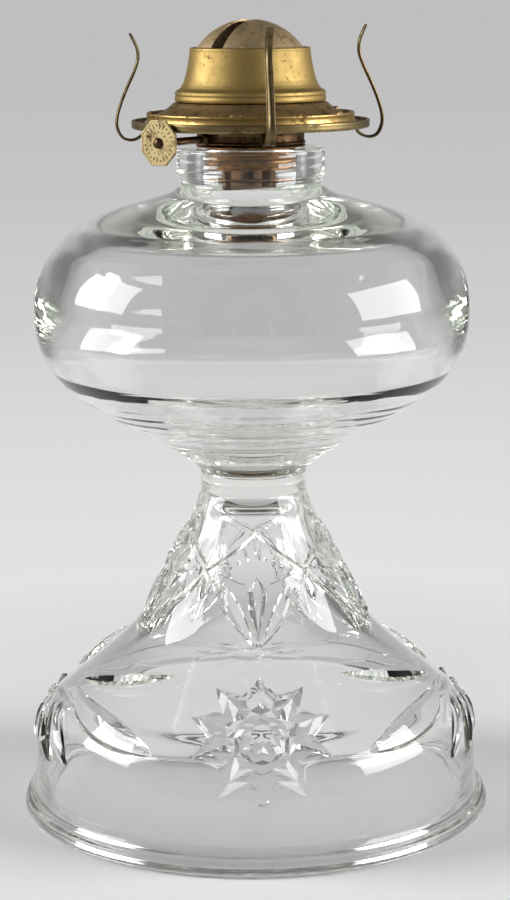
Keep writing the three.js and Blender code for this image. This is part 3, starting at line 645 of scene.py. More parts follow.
def star(azimuth, depth):
    """Ten ridged points round a button cut like a gem. Depth scales its relief."""
    middle = arc_at(STAR_HEIGHT)
    count = 2 * STAR_POINTS
    corners, faces = [(azimuth, middle, STAR_RINGS[0][0][1] * MM * depth)], []
    for ring in STAR_RINGS:
        for i in range(count):
            reach, lift = ring[i % 2]
            turn = i * pi / STAR_POINTS
            along = middle + reach * MM * cos(turn)
            spin = reach * MM * sin(turn) / cone_radius(along)
            corners.append((azimuth + spin, along, lift * MM * depth))
    for i in range(count):
        k = (i + 1) % count
        faces.append((0, 1 + i, 1 + k))
        for level in range(len(STAR_RINGS) - 1):
            a, b = 1 + level * count + i, 1 + level * count + k
            if (i + (level < STAR_BUTTON)) % 2 == 0:
                faces += [(a, a + count, b), (b, a + count, b + count)]
            else:
                faces += [(a, a + count, b + count), (a, b + count, b)]
    return relief(corners, faces, 1)


# leaves of half a fan: root and tip as (degrees from its middle, height in mm), half width,
# lean of the crest, and how far the widest place lies towards the tip
FAN_LEAVES = [
    ((11, 44.5), (61.5, 35.2), 5.6, 0.3, 1.3),
    ((11, 46.2), (57, 55.4), 2.3, 0.3, 1),
    ((13, 40), (32, 24.8), 3.4, 0.2, 1.1),
    ((8, 38.5), (21.5, 22.2), 3, 0.1, 1.1),
    ((0, 39), (0, 21.2), 3, 0, 1.1),
]
LEAF_RIDGE = 2.3 * MM


def fan(azimuth):
    leaves = []
    for root, tip, width, lean, skew in FAN_LEAVES:
        for side in ([1, -1] if tip[0] else [1]):
            ends = places(azimuth, side, root, tip)
            leaves.append(leaf(*ends, width * MM, LEAF_RIDGE, -side * lean, skew))
    return leaves


KITE_COUNT = 5
KITE_TOP = 98.8 * MM
KITE_SIDE = 86 * MM
KITE_BOTTOM = 64 * MM
KITE_HALF = pi / KITE_COUNT
KITE_CROWN = 1.2 * MM
KITE_COLUMNS = 12
KITE_ROWS = (-1, -0.5, 0, 0.5, 1)
# where each of its ribs ends, past its corner as a share
KITE_OVERLAP = 1.04
# marks on a kite: (degrees from its middle, height in mm)
KITE_ZIGZAG = ((27, 85.9), (7.5, 82.6))
KITE_LEAF = ((21, 82.5), (3, 65.5))
KITE_NAILS = ((6.5, 90), (12.5, 89), (18, 87.4))
KITE_TOP_NAIL = 92 * MM
KITE_BETWEEN = ((0, 84.6), (0, 76))
KITE_PETAL = ((0, 85.6), (-7.4, 80), (0, 65), (7.4, 80))
KITE_PETAL_TOP = ((0, 83.8), (-2.6, 80), (0, 68), (2.6, 80))
NAIL_RADIUS = 1.3 * MM
NAIL_LIFT = 1.5 * MM


def kite(azimuth):
    """A four-sided panel with ribbed edges, a zigzag, three leaves and nail heads above them."""
    side = arc_at(KITE_SIDE)
    rows = []
    for i in range(1, KITE_COLUMNS):
        across = -1 + 2 * i / KITE_COLUMNS
        left = 1 - abs(across)
        rows.append([])
        for up in KITE_ROWS:
            reach = KITE_TOP - KITE_SIDE if up > 0 else KITE_SIDE - KITE_BOTTOM
            rows[-1].append((azimuth + across * KITE_HALF, arc_at(KITE_SIDE + up * reach * left),
                             KITE_CROWN * left * (1 - abs(up))))
    parts = [panel((azimuth - KITE_HALF, side, 0), rows, (azimuth + KITE_HALF, side, 0))]
    for s in (-1, 1):
        corner = (azimuth + s * KITE_HALF * KITE_OVERLAP, side)
        parts.append(bar((azimuth, arc_at(KITE_TOP)), corner, 1.15 * MM, 1.3 * MM))
        parts.append(bar(corner, (azimuth, arc_at(KITE_BOTTOM)), 0.95 * MM, 1.2 * MM))
    for s in (-1, 1):
        parts.append(bar(*places(azimuth, s, *KITE_ZIGZAG), 0.8 * MM, 1.5 * MM))
        parts.append(leaf(*places(azimuth, s, *KITE_LEAF), 2.7 * MM, 1.8 * MM, -0.35 * s))
        parts += [nail_head(*place) for place in places(azimuth, s, *KITE_NAILS)]
    parts.append(nail_head(azimuth, arc_at(KITE_TOP_NAIL)))
    parts.append(leaf(*places(azimuth + KITE_HALF, 1, *KITE_BETWEEN), 2 * MM, 1.4 * MM))
    parts.append(gem(places(azimuth, 1, *KITE_PETAL), places(azimuth, 1, *KITE_PETAL_TOP), 3.2 * MM))
    return parts


def nail_head(azimuth, middle):
    """A small four-sided point at an (azimuth, arc) place."""
    spin, rise = NAIL_RADIUS / cone_radius(middle), NAIL_RADIUS * 1.2
    corners = [(azimuth, middle, NAIL_LIFT), (azimuth + spin, middle, 0), (azimuth, middle + rise, 0),
               (azimuth - spin, middle, 0), (azimuth, middle - rise, 0)]
    return relief(corners, [(0, 1, 2), (0, 2, 3), (0, 3, 4), (0, 4, 1)])


FONT_LOWER = [
    (0, 0), (0.061, 0.036), (0.284, 0.119), (0.552, 0.203), (0.772, 0.287), (0.905, 0.37),
    (0.978, 0.454), (1, 0.569),
]
FONT_UPPER = [
    (0.98, 0.663), (0.911, 0.747), (0.768, 0.831), (0.64, 0.872), (0.447, 0.914), (0.224, 0.946),
    (0.081, 0.969), (0, 1),
]
# the font's hollow: a flat floor, a wall that follows the outside and then a thick shoulder
HOLLOW_FLOOR = BASE_HEIGHT + 9.9 * MM
HOLLOW_CEILING = MOUTH - 27.6 * MM
HOLLOW_RADIUS = 67.9 * MM
# above the parallel wall: radius as a share of the widest, height as a share of floor to ceiling
HOLLOW_SHARES = [
    (0.935, 0.367), (0.967, 0.414), (0.99, 0.464), (1, 0.514), (1, 0.549), (0.994, 0.592),
    (0.981, 0.642), (0.961, 0.692), (0.935, 0.749), (0.903, 0.806), (0.863, 0.863), (0.818, 0.906),
    (0.768, 0.941), (0.699, 0.97), (0.61, 0.991), (0.506, 1),
]
# the foot's hollow: radius as a share of its mouth, height as a share of its depth
CAVITY_SHARES = [
    (0.086, 1), (0.122, 0.994), (0.149, 0.979), (0.166, 0.953), (0.178, 0.916), (0.201, 0.866),
    (0.246, 0.8), (0.314, 0.72), (0.408, 0.638), (0.519, 0.564), (0.622, 0.505), (0.726, 0.452),
    (0.802, 0.415), (0.871, 0.382), (0.927, 0.353), (0.967, 0.322), (0.988, 0.283), (0.997, 0.233),
    (1, 0.165), (1, 0.087), (1, 0.019),
]
CAVITY_MOUTH = 72.3 * MM
NECK_ROUND = 1.1 * MM
RIPPLE = 0.05 * MM
RIPPLE_TOP = BASE_HEIGHT + 28 * MM
WIDEST = BASE_HEIGHT + 55 * MM
# waves of hand-worked glass: (strength, count round it, radians per metre of height, start)
SLOW_WAVES = [(1, 3, 40, 0), (0.7, 5, -75, 1.3), (0.5, 9, 160, 2.1)]
FINE_WAVES = [(1.6, 0, 2400, 0), (1.3, 0, 1450, 1), (0.8, 3, 700, 0)]


def font_hollow(wall, bore_z):
    """The hollow's outline from the middle of its floor up to the neck's bore."""
    first_z = HOLLOW_FLOOR + HOLLOW_SHARES[0][1] * (HOLLOW_CEILING - HOLLOW_FLOOR)
    low = [(r, z) for r, z in wall if r > 19 * MM and HOLLOW_FLOOR + 2 * MM < z < first_z - 2 * MM]
    return smooth([
        *off(0, HOLLOW_FLOOR, (0, 0), (8, 0), (14, 0.3)), *low[::4],
        *spread(HOLLOW_SHARES, 0, HOLLOW_RADIUS, HOLLOW_FLOOR, HOLLOW_CEILING),
        *off(BORE_RADIUS, HOLLOW_CEILING, (9.2, 0.3), (4.2, 0.6), (0.88, 1.15), (0.11, 2.36), (0, 4.12)),
        (BORE_RADIUS, bore_z),
    ], 1.1 * MM)


def glass_outline():
    """The whole skin of the glass, from the top of the foot's hollow round to the font's floor."""
    cavity = smooth(spread(CAVITY_SHARES, 0, CAVITY_MOUTH, 0, CAVITY_TOP), 1.1 * MM)
    rim = smooth(spread(RIM_SHARES, SKIRT_RADIUS, RIM_RADIUS, 0, RIM_HEIGHT), 0.3 * MM)
    groove = MOUTH - 12 * MM
    groove_radius = NECK_RADIUS - 1.5 * MM
    bore_z = MOUTH - 12.7 * MM
    outside = smooth(spread(FONT_LOWER, JOIN_RADIUS, FONT_RADIUS, BASE_HEIGHT, groove)
                     + spread(FONT_UPPER, groove_radius, FONT_RADIUS, BASE_HEIGHT, groove), 1.4 * MM)
    inner = font_hollow(sideways(outside, FONT_WALL), bore_z)
    thread = np.linspace(MOUTH - NECK_ROUND, bore_z + THREAD_PITCH / 2, 60)
    neck_band = MOUTH - 9.5 * MM
    return np.vstack([
        off(0, CAVITY_TOP, (0, 0), (3, 0), (5.4, 0)),
        cavity,
        arc((CAVITY_MOUTH + 1.6 * MM, 1.6 * MM), 1.6 * MM, 190, 250, 5),
        off(CAVITY_MOUTH, 0, (2.2, 0.04), (3.4, 0), (4.6, 0.08)),
        rim,
        cone_line,
        resample([(JOIN_RADIUS, WAIST_HEIGHT + MM), (JOIN_RADIUS, BASE_HEIGHT - 0.8 * MM)], 1.2 * MM),
        arc((JOIN_RADIUS, BASE_HEIGHT), 0.5 * MM, 270, 90, 7),
        outside[1:],
        arc((NECK_RADIUS - NECK_ROUND, neck_band + NECK_ROUND), NECK_ROUND, -70, 0, 6),
        resample([(NECK_RADIUS, neck_band + 2 * MM), (NECK_RADIUS, MOUTH - 2 * MM)], 1.2 * MM),
        arc((NECK_RADIUS - NECK_ROUND, MOUTH - NECK_ROUND), NECK_ROUND, 0, 90, 7),
        arc((BORE_RADIUS + NECK_ROUND, MOUTH - NECK_ROUND), NECK_ROUND, 90, 170, 7),
        [(BORE_RADIUS, z) for z in thread],
        inner[::-1],
    ])


def wave_sum(waves, z, turns):
    return sum(strength * np.sin(count * turns + climb * z + start)
               for strength, count, climb, start in waves)


def thread_share(z, turns, low, high):
    """How far the neck's thread stands out round one ring. It fades at both ends."""
    fade = min(1.0, max(0.0, min(z - low, high - z) / (THREAD_PITCH / 2)))
    return fade * (0.5 - 0.5 * np.cos(2 * pi * (z - MOUTH) / THREAD_PITCH - turns))


def glass_radius(radius, z, turns):
    """The outline's radius round one ring: the neck's thread, and slow waves of hand-worked glass."""
    low, high = MOUTH - 11.2 * MM, MOUTH - NECK_ROUND
    if abs(radius - BORE_RADIUS) < 0.05 * MM and low <= z <= high:
        return radius - THREAD_DEPTH * thread_share(z, turns, low, high)
    if radius > JOIN_RADIUS and BASE_HEIGHT + 2 * MM < z < RIPPLE_TOP:
        fade = min(1.0, (z - BASE_HEIGHT - 2 * MM) / (5 * MM), (RIPPLE_TOP - z) / (3 * MM))
        front = 0.55 + 0.45 * np.cos(turns)
        return radius + RIPPLE * front * fade * wave_sum(FINE_WAVES, z, turns)
    if BASE_HEIGHT + 3 * MM < z < MOUTH - 16 * MM:
        calm = 1 - 0.8 * exp(-((z - WIDEST) / (14 * MM))**2)
        return radius + RIPPLE * wave_sum(SLOW_WAVES, z, turns) * calm * min(1.0, radius / (40 * MM))
    return np.full(len(turns), radius)


def make_glass():
    verts, faces = lathe(glass_outline(), GLASS_SEGMENTS, glass_radius)
    body = outward(piece("lamp_glass", verts, faces, material="glass"))
    motifs = [star(0, 1.0), star(pi, 0.25)]
    for side in (pi / 2, -pi / 2):
        motifs += fan(side)
    for i in range(KITE_COUNT):
        motifs += kite(i * 2 * pi / KITE_COUNT)
    pattern = combine(motifs[0], motifs[1:], "UNION")
    combine(body, [pattern], "UNION")
    shade(body, 7)
    keep_sharp_on_relief(body)
    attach(body, "lamp")
    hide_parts("glass_base", "glass_font")


def values_of(items, name, width, kind):
    """One value or vector of each vertex or edge of a mesh, as an array."""
    found = np.zeros(len(items) * width, kind)
    items.foreach_get(name, found)
    return found.reshape(-1, width)


def keep_sharp_on_relief(body):
    """Only the pressed pattern and the joint of foot and font have hard edges."""
    mesh = body.data
    sharp = mesh.attributes["sharp_edge"].data
    flags = values_of(sharp, "value", 1, bool)[:, 0]
    ends = values_of(mesh.edges, "vertices", 2, int)
    x, y, z = values_of(mesh.vertices, "co", 3, float)[ends].mean(axis=1).T
    radius = np.hypot(x, y)
    face = np.interp(z, cone_line[:, 1], cone_line[:, 0])
    on_pattern = (z > 14 * MM) & (z < 102 * MM) & (radius > face - 1.2 * MM)
    on_joint = (abs(z - BASE_HEIGHT) < 0.9 * MM) & (radius > JOIN_RADIUS - MM)
    sharp.foreach_set("value", flags & (on_pattern | on_joint))


# Burner: its pieces are made in its own frame, whose +X runs along the wick's shaft

CUP_RADIUS = 17.7 * MM
CHIMNEY_SEAT = 38.3 * MM
RING_RADIUS = 34.1 * MM
RING_WALL = 1.5 * MM
GALLERY_UNDER = 0.65 * MM
SHEET = 0.6 * MM
SHAFT_RADIUS = 1 * MM
SHAFT_PLAY = 0.3 * MM
SHAFT_OFFSET = 4.8 * MM
SHAFT_HEIGHT = BURNER_AXIS["pos_m"][2]
BRASS_SEGMENTS = 180
SHAFT_SEGMENTS = 32


def heights(name):
    low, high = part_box(name)
    return low.z, high.z


def turn_to_burner(obj):
    obj.data.transform(Matrix.Rotation(BURNER_TURN, 4, "Z"))
    return obj


def lay_along_shaft(obj):
    """Turns a piece that stands along Z onto the shaft's line, in the burner's frame."""
    turn = Matrix.Rotation(pi / 2, 4, "Y")
    obj.data.transform(Matrix.Translation((0, -SHAFT_OFFSET, SHAFT_HEIGHT)) @ turn)
    return obj


def stand_in(name, kind, verts, faces, body, material, slot, sharp):
    """A closed piece that stands for the frame's node of the same name."""
    made = shade(outward(piece(f"{name}_{kind}", verts, faces, body, material, slot)), sharp)
    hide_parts(name)
    return made


def turned(name, outline, material, sharp=30, radius_at=None, loop=True, body="burner",
           slot="dark_brass", segments=BRASS_SEGMENTS):
    """A stand-in turned about Z."""
    verts, faces = lathe(outline, segments, radius_at, loop)
    return stand_in(name, "brass", verts, faces, body, material, slot, sharp)


def on_shaft(name, outline, body, material, sharp=30, loop=True):
    """A stand-in turned about the shaft's line."""
    made = turned(name, outline, material, sharp, None, loop, body, segments=SHAFT_SEGMENTS)
    turn_to_burner(lay_along_shaft(made))


def cut(obj, tools, sharp):
    """Cuts tools out of a piece, and turns it to the burner's place."""
    turn_to_burner(shade(combine(obj, tools, "DIFFERENCE"), sharp))


def sheet(outline, thickness):
    """The closed outline of a pressed sheet whose outer face is given."""
    inner = sideways(outline, thickness)
    return np.vstack([outline, inner[::-1]])


def rod(name, radius, low, high, sides=24):
    """A closed cylinder along Z, not yet riding on anything."""
    return outward(piece(name, *lathe([(0, low), (radius, low), (radius, high), (0, high)], sides)))


def moved_out(obj, distance, turn):
    obj.data.transform(Matrix.Translation((distance * cos(turn), distance * sin(turn), 0)))
    return obj


def hole_ring(count, radius, circle, low, high):
    return [moved_out(rod("hole", radius, low, high, 20), circle, i * 2 * pi / count)
            for i in range(count)]


FERRULE_ROOT = 14.65 * MM
FERRULE_BORE = 13.65 * MM
FERRULE_THREAD = 0.8 * MM


def make_ferrule():
    low, high = heights("screw_ferrule")
    flange = high - SHEET
    root, bore = FERRULE_ROOT, FERRULE_BORE
    thread_top = flange - 0.6 * MM
    rows = np.linspace(low + 0.3 * MM, thread_top, 38)
    outline = [(bore, low), (root - 0.2 * MM, low), *[(root, z) for z in rows],
               *off(root, flange, (0, -0.25), (0.25, 0)), (CUP_RADIUS + 0.15 * MM, flange),
               (CUP_RADIUS + 0.4 * MM, flange + SHEET / 2), (CUP_RADIUS + 0.15 * MM, high), (bore, high)]

    def threaded(radius, z, turns):
        if abs(radius - root) > 0.01 * MM or z > thread_top:
            return np.full(len(turns), radius)
        return radius + FERRULE_THREAD * thread_share(z, turns, low, thread_top)

    turned("screw_ferrule", outline, "ferrule", 40, threaded)


def make_cup():
    low, high = heights("burner_cup")
    radius, eye = CUP_RADIUS, CUP_RADIUS - 3 * MM
    outline = [(eye, low),
               *off(radius, low, (-0.2, 0), (0.25, 0.25), (0.3, 0.6), (0.05, 0.95), (-0.1, 1.2)),
               *off(radius, high, (-0.1, -0.9), (0.1, -0.6), (0.15, -0.2), (0, 0)),
               (radius - SHEET, high), (radius - SHEET, low + SHEET), (eye, low + SHEET)]
    cup = turned("burner_cup", outline, "cup")
    hole = lay_along_shaft(rod("hole", SHAFT_RADIUS + SHAFT_PLAY, 0, radius + 4 * MM))
    cut(cup, [hole], 30)


# holes: how many, their radius and the radius of their circle
AIR_HOLES = (12, 1.6 * MM, 25 * MM)
DECK_HOLES = (20, 0.9 * MM, 30 * MM)
HOLE_OVERRUN = 2 * MM


def make_air_pan():
    low, high = heights("air_pan")
    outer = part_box("air_pan")[1].x
    rise = low + SHEET
    eye = CUP_RADIUS - 1.6 * MM
    outline = [(eye, low), (CUP_RADIUS + 0.6 * MM, low), (outer - 2 * MM, rise), (outer, rise),
               (outer, high), (outer - 2 * MM, high), (CUP_RADIUS + 0.4 * MM, rise), (eye, rise)]
    pan = turned("air_pan", outline, "cup")
    cut(pan, hole_ring(*AIR_HOLES, low - HOLE_OVERRUN, high + HOLE_OVERRUN), 30)


def make_gallery():
    low, high = heights("gallery")
    seat, top, under = low + 1.35 * MM, low + 2.7 * MM, low + GALLERY_UNDER
    lip, ring, inner, bore = CHIMNEY_SEAT, RING_RADIUS, RING_RADIUS - RING_WALL, 30 * MM
    outline = np.vstack([
        [(bore, under), (lip - 1.8 * MM, under)], off(lip, low, (-0.9, 0.25)),
        arc(*off(lip, low, (0.1, 0.55)), 0.55 * MM, 225, 330, 6),
        off(lip, low, (0.72, 0.75), (0.66, 1.2), (0.74, 1.8)),
        arc(*off(lip, top, (0.35, -0.4)), 0.4 * MM, 0, 180, 8),
        off(lip, top, (-0.05, -0.8)), off(lip, seat, (-0.15, 0.3), (-0.5, 0)),
        off(ring, seat, (0.95, 0), (0.75, 0.2), (0.7, 0.75), (0.4, 1), (0.05, 1.15), (-0.1, 1.6)),
        off(ring, high, (-0.1, -0.95), (0.02, -0.7)),
        arc(*off(ring, high, (-0.42, -0.42)), 0.42 * MM, 0, 90, 6),
        arc(*off(inner, high, (0.4, -0.4)), 0.4 * MM, 90, 180, 5),
        [(inner, seat), (bore, seat)],
    ])
    dish = turned("gallery", outline, "lip", 38, slot="aged_brass")
    dish.data.materials.append(MATERIALS["ring"])
    for face in dish.data.polygons:
        middle = face.center
        if hypot(middle.x, middle.y) < ring + 0.98 * MM and middle.z > seat - 0.01 * MM:
            face.material_index = 1


TAB_TURNS = (-76, -8, 58, 122, 190)
TAB_HALF_WIDTH = 2 * MM


def make_tabs():
    """Small folded tabs where the deck is clinched over the ring."""
    (middle, fold), = off(RING_RADIUS, heights("gallery")[1], (-0.9, -0.2))
    line = arc((middle, fold), 1 * MM, 200, -15, 12)
    across = np.linspace(-1, 1, 7)
    verts, faces = [], []
    for turn in TAB_TURNS:
        start = len(verts)
        for u in across:
            swell = 0.62 + 0.38 * sqrt(max(0.0, 1 - u**4))
            spin = radians(turn) + u * TAB_HALF_WIDTH / RING_RADIUS
            for radius, z in line:
                reach = middle + (radius - middle) * swell
                verts.append((reach * sin(spin), -reach * cos(spin), fold + (z - fold) * swell))
        faces += [tuple(start + i for i in face) for face in tube_faces(len(across), len(line))]
    shade(outward(piece("ring_tabs", verts, faces, "burner", "deck", "dark_brass")), 50)


def make_deck():
    low, high = heights("draft_deck")
    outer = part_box("draft_deck")[1].x
    slope = smooth([*off(outer, high, (-0.35, -4.1)),
                    *off(0, high, (29.6, -3.3), (27, -1.7), (25.5, -0.35), (24.6, 0))], 0.5 * MM)
    face = np.vstack([[(outer, low), (outer, high - 4.5 * MM)], slope, [(21.6 * MM, high)]])
    deck = turned("draft_deck", sheet(face, SHEET), "deck")
    cut(deck, hole_ring(*DECK_HOLES, low, high + HOLE_OVERRUN), 35)


BELL_MOUTH = 19.5 * MM
BELL_BEAD = 24.8 * MM
BELL_SHARES = [
    (0.86, 0), (0.97, 0.008), (1, 0.035), (1, 0.07), (0.975, 0.096), (0.945, 0.104),
    (0.945, 0.112), (0.975, 0.122), (0.985, 0.15), (0.955, 0.185), (0.88, 0.207), (0.8, 0.216),
    (0.74, 0.225), (0.62, 0.26), (0.5, 0.32), (0.39, 0.4), (0.3, 0.5), (0.21, 0.62),
    (0.135, 0.74), (0.075, 0.86), (0.045, 0.935), (0.055, 0.965), (0.03, 0.992), (-0.03, 1),
]


def make_bell():
    face = resample(spread(BELL_SHARES, BELL_MOUTH, BELL_BEAD, *heights("bell")), 0.28 * MM)
    turned("bell", sheet(face, SHEET), "bell", 40, body="cone", slot="aged_brass")


DOME_EDGE = 17.3 * MM
DOME_COLLAR = 18.48 * MM
DOME_RISE = 9.1 * MM
SLOT_HALF_WIDTH = 2.45 * MM
SLOT_DROP = 0.4 * MM


def make_dome():
    low, high = heights("dome")
    sphere = (DOME_EDGE**2 + DOME_RISE**2) / (2 * DOME_RISE)
    centre = (0, high - sphere)
    sweep = 90 - degrees(asin(DOME_EDGE / sphere))
    edge, collar = high - DOME_RISE, DOME_COLLAR
    cap = arc(centre, sphere, 90, sweep, 40)
    inner = arc(centre, sphere - SHEET, sweep, 90, 30)
    cap[0, 0] = inner[-1, 0] = 0
    outline = np.vstack([
        cap, off(DOME_EDGE, edge, (0.25, -0.15), (0.75, -0.45)), off(collar, edge, (-0.1, -1), (0, -1.3)),
        [(collar, low), (collar - SHEET, low), (collar - SHEET, edge - 1.8 * MM)], inner])
    dome = turned("dome", outline, "dome", 35, None, False, "cone", "bright_brass")
    corners = [(x * collar, y * SLOT_HALF_WIDTH, z) for z in (edge - SLOT_DROP, high + HOLE_OVERRUN)
               for x, y in ((-1, -1), (1, -1), (1, 1), (-1, 1))]
    cut(dome, [outward(piece("slot", corners, tube_faces(2, 4)))], 35)


# a prong's line from the middle of the burner and from its foot, in mm
PRONG_LINE = [
    (32.4, 0), (34.6, -0.1), (36.4, -2.3), (39.1, -3.4), (42, -2.6), (43.7, 0.6), (43.7, 4.1),
    (42.4, 8.7), (40.3, 13.9), (38, 18.9), (36.6, 23), (36.7, 26.5), (37.8, 29.4), (39.1, 31.9),
]
# how each old prong is bent: outwards in degrees, longer as a share, and to one side
PRONGS = {
    "front": (0, 1.025, 0.8 * MM), "right": (-1.2, 1.035, 0), "back": (-1, 1, -0.4 * MM),
    "left": (0.3, 0.97, 0),
}
# across the strip, out of it, as shares of the half width and of the thickness
PRONG_SECTION = [
    (-1, 0.12), (-0.9, 0.42), (-0.72, 0.5), (-0.5, 0.3), (-0.25, 0.06), (0, -0.02), (0.25, 0.06),
    (0.5, 0.3), (0.72, 0.5), (0.9, 0.42), (1, 0.12), (0.95, -0.12), (0.6, -0.34), (0.3, -0.46),
    (0, -0.5), (-0.3, -0.46), (-0.6, -0.34), (-0.95, -0.12),
]
# its half width in mm at shares of its length
PRONG_WIDTHS = {0: 1.9, 0.17: 2.0, 0.25: 1.7, 0.36: 1.4, 0.6: 1.35, 0.97: 1.3, 1: 1.15}
PRONG_THICKNESS = 0.95 * MM
PRONG_GAP = 0.3 * MM
PRONG_FIRST = radians(8)


def make_prong(side, turn):
    """A sprung strip pressed into a channel, wide where it leaves the gallery."""
    name = f"prong_{side}"
    foot = heights("gallery")[0] + GALLERY_UNDER - PRONG_GAP - PRONG_THICKNESS / 2
    root_r, root_z = PRONG_LINE[1]
    lean, stretch, sway = PRONGS[side]
    lean = radians(lean)
    bent = PRONG_LINE[:2]
    for r, z in PRONG_LINE[2:]:
        out, up = r - root_r, (z - root_z) * stretch
        bent.append((root_r + out * cos(lean) + up * sin(lean),
                     root_z + up * cos(lean) - out * sin(lean)))
    line = smooth(off(0, foot, *bent), 0.75 * MM)
    along = np.gradient(line, axis=0)
    along /= np.linalg.norm(along, axis=1)[:, None]
    share = np.linspace(0, 1, len(line))
    half = np.interp(share, list(PRONG_WIDTHS), list(PRONG_WIDTHS.values())) * MM
    thick = np.interp(share, [0, 0.98, 1], [1, 1, 0.6]) * PRONG_THICKNESS
    verts = []
    for (radius, z), (dx, dz), h, t, s in zip(line, along, half, thick, share):
        for across, out in PRONG_SECTION:
            reach = radius + dz * out * t
            beside = across * h + sway * s
            verts.append((beside * cos(turn) + reach * sin(turn),
                          beside * sin(turn) - reach * cos(turn), z - dx * out * t))
    faces = tube_faces(len(line), len(PRONG_SECTION))
    stand_in(name, "brass", verts, faces, name, "prong", "aged_brass", 60)


WHEEL_RADIUS = 7.7 * MM
WHEEL_FACE = 41.2 * MM
WHEEL_BACK = 40.2 * MM
WHEEL_RELIEF = 0.28 * MM
WHEEL_SIDES = 8
HUB_RADIUS = 2.4 * MM
RIVET_RADIUS = 1.75 * MM
RIVET_RISE = 1.15 * MM
SHAFT_END = -9.4 * MM


def make_shaft():
    reach = sqrt(CUP_RADIUS**2 - SHAFT_OFFSET**2)
    radius, bore, sleeve, collar = SHAFT_RADIUS, SHAFT_RADIUS + SHAFT_PLAY, 2 * MM, SHAFT_RADIUS * 1.25
    outline = [(0, SHAFT_END), (radius, SHAFT_END), (radius, reach + 5.2 * MM),
               (collar, reach + 5.4 * MM), (collar, WHEEL_FACE - 2.3 * MM),
               (radius, WHEEL_FACE - 2 * MM), (radius, WHEEL_FACE), (0, WHEEL_FACE)]
    on_shaft("wick_shaft", outline, "knob", "cup", loop=False)
    outline = [(bore, reach - 1.5 * MM), *off(sleeve, reach, (0, -1.5), (0, 3.2), (-0.15, 3.5)),
               (bore, reach + 3.5 * MM)]
    on_shaft("shaft_bush", outline, "burner", "cup")


def prism(name, radius, low, high, sides, spin, top=None):
    """A closed prism along Z. The top may be smaller than the foot."""
    turns = spin + np.arange(sides) * 2 * pi / sides
    verts = [(radius * cos(t), radius * sin(t), low) for t in turns]
    reach = radius if top is None else top
    verts += [(reach * cos(t), reach * sin(t), high) for t in turns]
    return outward(piece(name, verts, tube_faces(2, sides)))


# marks raised on the wheel: their sides, radius at foot and top, rise, and place from the middle, in mm
WHEEL_RAY = (4, 0.72, 0.5, 0.24, 5.3)
WHEEL_BEAD = (10, 0.42, 0.24, 0.26, 5.6)
WHEEL_SMALL_BEAD = (8, 0.3, 0.16, 0.2, 3.5)
RAY_STRETCH = (1.3, 0.42)
WHEEL_MARKS = 24
SMALL_BEADS = 14


def wheel_mark(face, turn, sides, foot, top, rise, reach):
    """A small raised mark on the wheel's face. Rays point outwards."""
    mark = prism("mark", foot * MM, face - 0.1 * MM, face + rise * MM, sides, 0, top * MM)
    if sides == WHEEL_RAY[0]:
        mark.data.transform(Matrix.Rotation(turn, 4, "Z") @ Matrix.Diagonal((*RAY_STRETCH, 1, 1)))
    return moved_out(mark, reach * MM, turn)


def make_wheel():
    """An eight-sided wheel: a fine border, a ring of short rays and a ring of beads."""
    half = pi / WHEEL_SIDES
    face = WHEEL_FACE - WHEEL_RELIEF
    disc = prism("thumb_wheel_brass", WHEEL_RADIUS, WHEEL_BACK, face, WHEEL_SIDES, half)
    soft = disc.modifiers.new("edge", "BEVEL")
    soft.width, soft.segments, soft.limit_method = 0.12 * MM, 2, "ANGLE"
    border = prism("border", WHEEL_RADIUS * 0.985, face - 0.1 * MM, face + 0.14 * MM, WHEEL_SIDES, half,
                   WHEEL_RADIUS * 0.965)
    inside = prism("inside", WHEEL_RADIUS * 0.9, face - 0.2 * MM, face + 0.3 * MM, WHEEL_SIDES, half)
    parts = [combine(border, [inside], "DIFFERENCE")]
    for i in range(WHEEL_MARKS):
        mark = WHEEL_RAY if i % 3 else WHEEL_BEAD
        parts.append(wheel_mark(face, (i + 0.5) * 2 * pi / WHEEL_MARKS, *mark))
    for i in range(SMALL_BEADS):
        parts.append(wheel_mark(face, i * 2 * pi / SMALL_BEADS, *WHEEL_SMALL_BEAD))
    parts.append(rod("hub", HUB_RADIUS, WHEEL_BACK - 0.5 * MM, face - 0.1 * MM, SHAFT_SEGMENTS))
    combine(disc, parts, "UNION")
    bore = rod("bore", SHAFT_RADIUS + 0.1 * MM, WHEEL_BACK - HOLE_OVERRUN, WHEEL_FACE + HOLE_OVERRUN)
    combine(disc, [bore], "DIFFERENCE")
    recoat(disc, "wheel")
    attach(disc, "knob")
    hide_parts("thumb_wheel")
    shade(turn_to_burner(lay_along_shaft(disc)), 30)


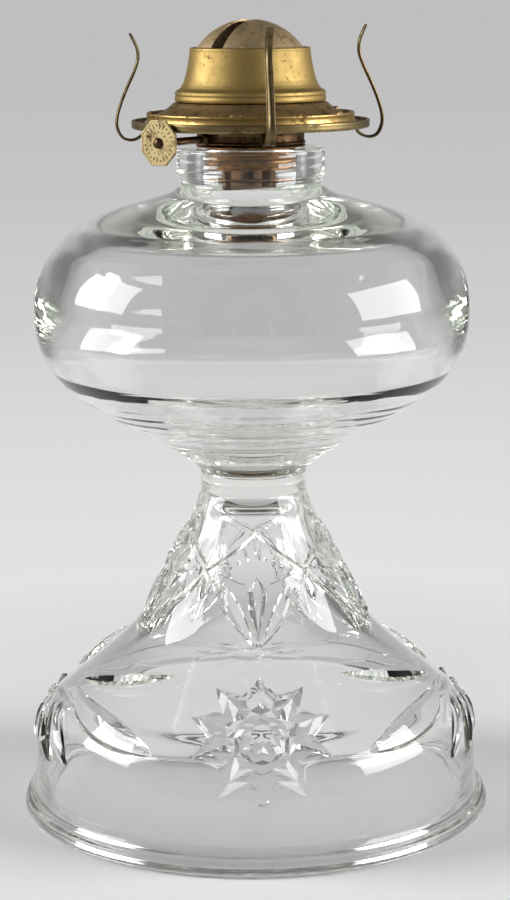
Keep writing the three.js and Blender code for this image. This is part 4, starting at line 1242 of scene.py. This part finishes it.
def make_rivet():
    start = WHEEL_FACE - 0.1 * MM
    turns = np.linspace(0, pi / 2, 12)
    cap = np.column_stack([RIVET_RADIUS * np.cos(turns), start + RIVET_RISE * np.sin(turns)])
    cap[-1, 0] = 0
    foot = [(0, start - 0.2 * MM), (RIVET_RADIUS, start - 0.2 * MM)]
    on_shaft("wheel_rivet", np.vstack([foot, cap]), "knob", "rivet", 50, False)


WICK_HALF_WIDTH = 12.3 * MM
WICK_HALF_THICKNESS = 1.2 * MM
WICK_RIBS = 22
WICK_ROWS = 110
WICK_STEPS = 176


def make_wick():
    """A flat woven wick: ribs along it, and a fuller and a thinner pick in turn."""
    verts = []
    for row, z in enumerate(np.linspace(*heights("wick"), WICK_ROWS)):
        for t in np.linspace(0, 2 * pi, WICK_STEPS, endpoint=False):
            u = copysign(abs(cos(t))**0.6, cos(t))
            side = copysign(abs(sin(t))**0.35, sin(t))
            rib = abs(cos(u * WICK_RIBS * pi / 2))
            pick = 0.5 + 0.5 * cos(pi * row + (u * WICK_RIBS) // 1 * pi)
            depth = WICK_HALF_THICKNESS * (0.9 + 0.06 * rib * pick - 0.05 * (1 - rib))
            verts.append((WICK_HALF_WIDTH * 0.985 * u, depth * side, z))
    faces = tube_faces(WICK_ROWS, WICK_STEPS)
    turn_to_burner(stand_in("wick", "cotton", verts, faces, "wick", "cotton", "cotton", 60))


make_camera()
make_world()
for name, angles in SOFTBOXES.items():
    make_softbox(name, angles)
make_floor()
make_glass()
make_ferrule()
make_cup()
make_air_pan()
make_gallery()
make_tabs()
make_deck()
make_bell()
make_dome()
for i, side in enumerate(PRONGS):
    make_prong(side, PRONG_FIRST + i * pi / 2)
make_shaft()
make_wheel()
make_rivet()
make_wick()

for name in ("wick_tube", "vent_tube", "sprocket_box", "sprocket_inner", "sprocket_outer"):
    recoat(frame["nodes"][name], "cup")

scene = bpy.context.scene
scene.view_settings.view_transform = "Standard"
# light meets many faces inside the thick glass
scene.cycles.max_bounces = 24
scene.cycles.glossy_bounces = 20
scene.cycles.transmission_bounces = 24
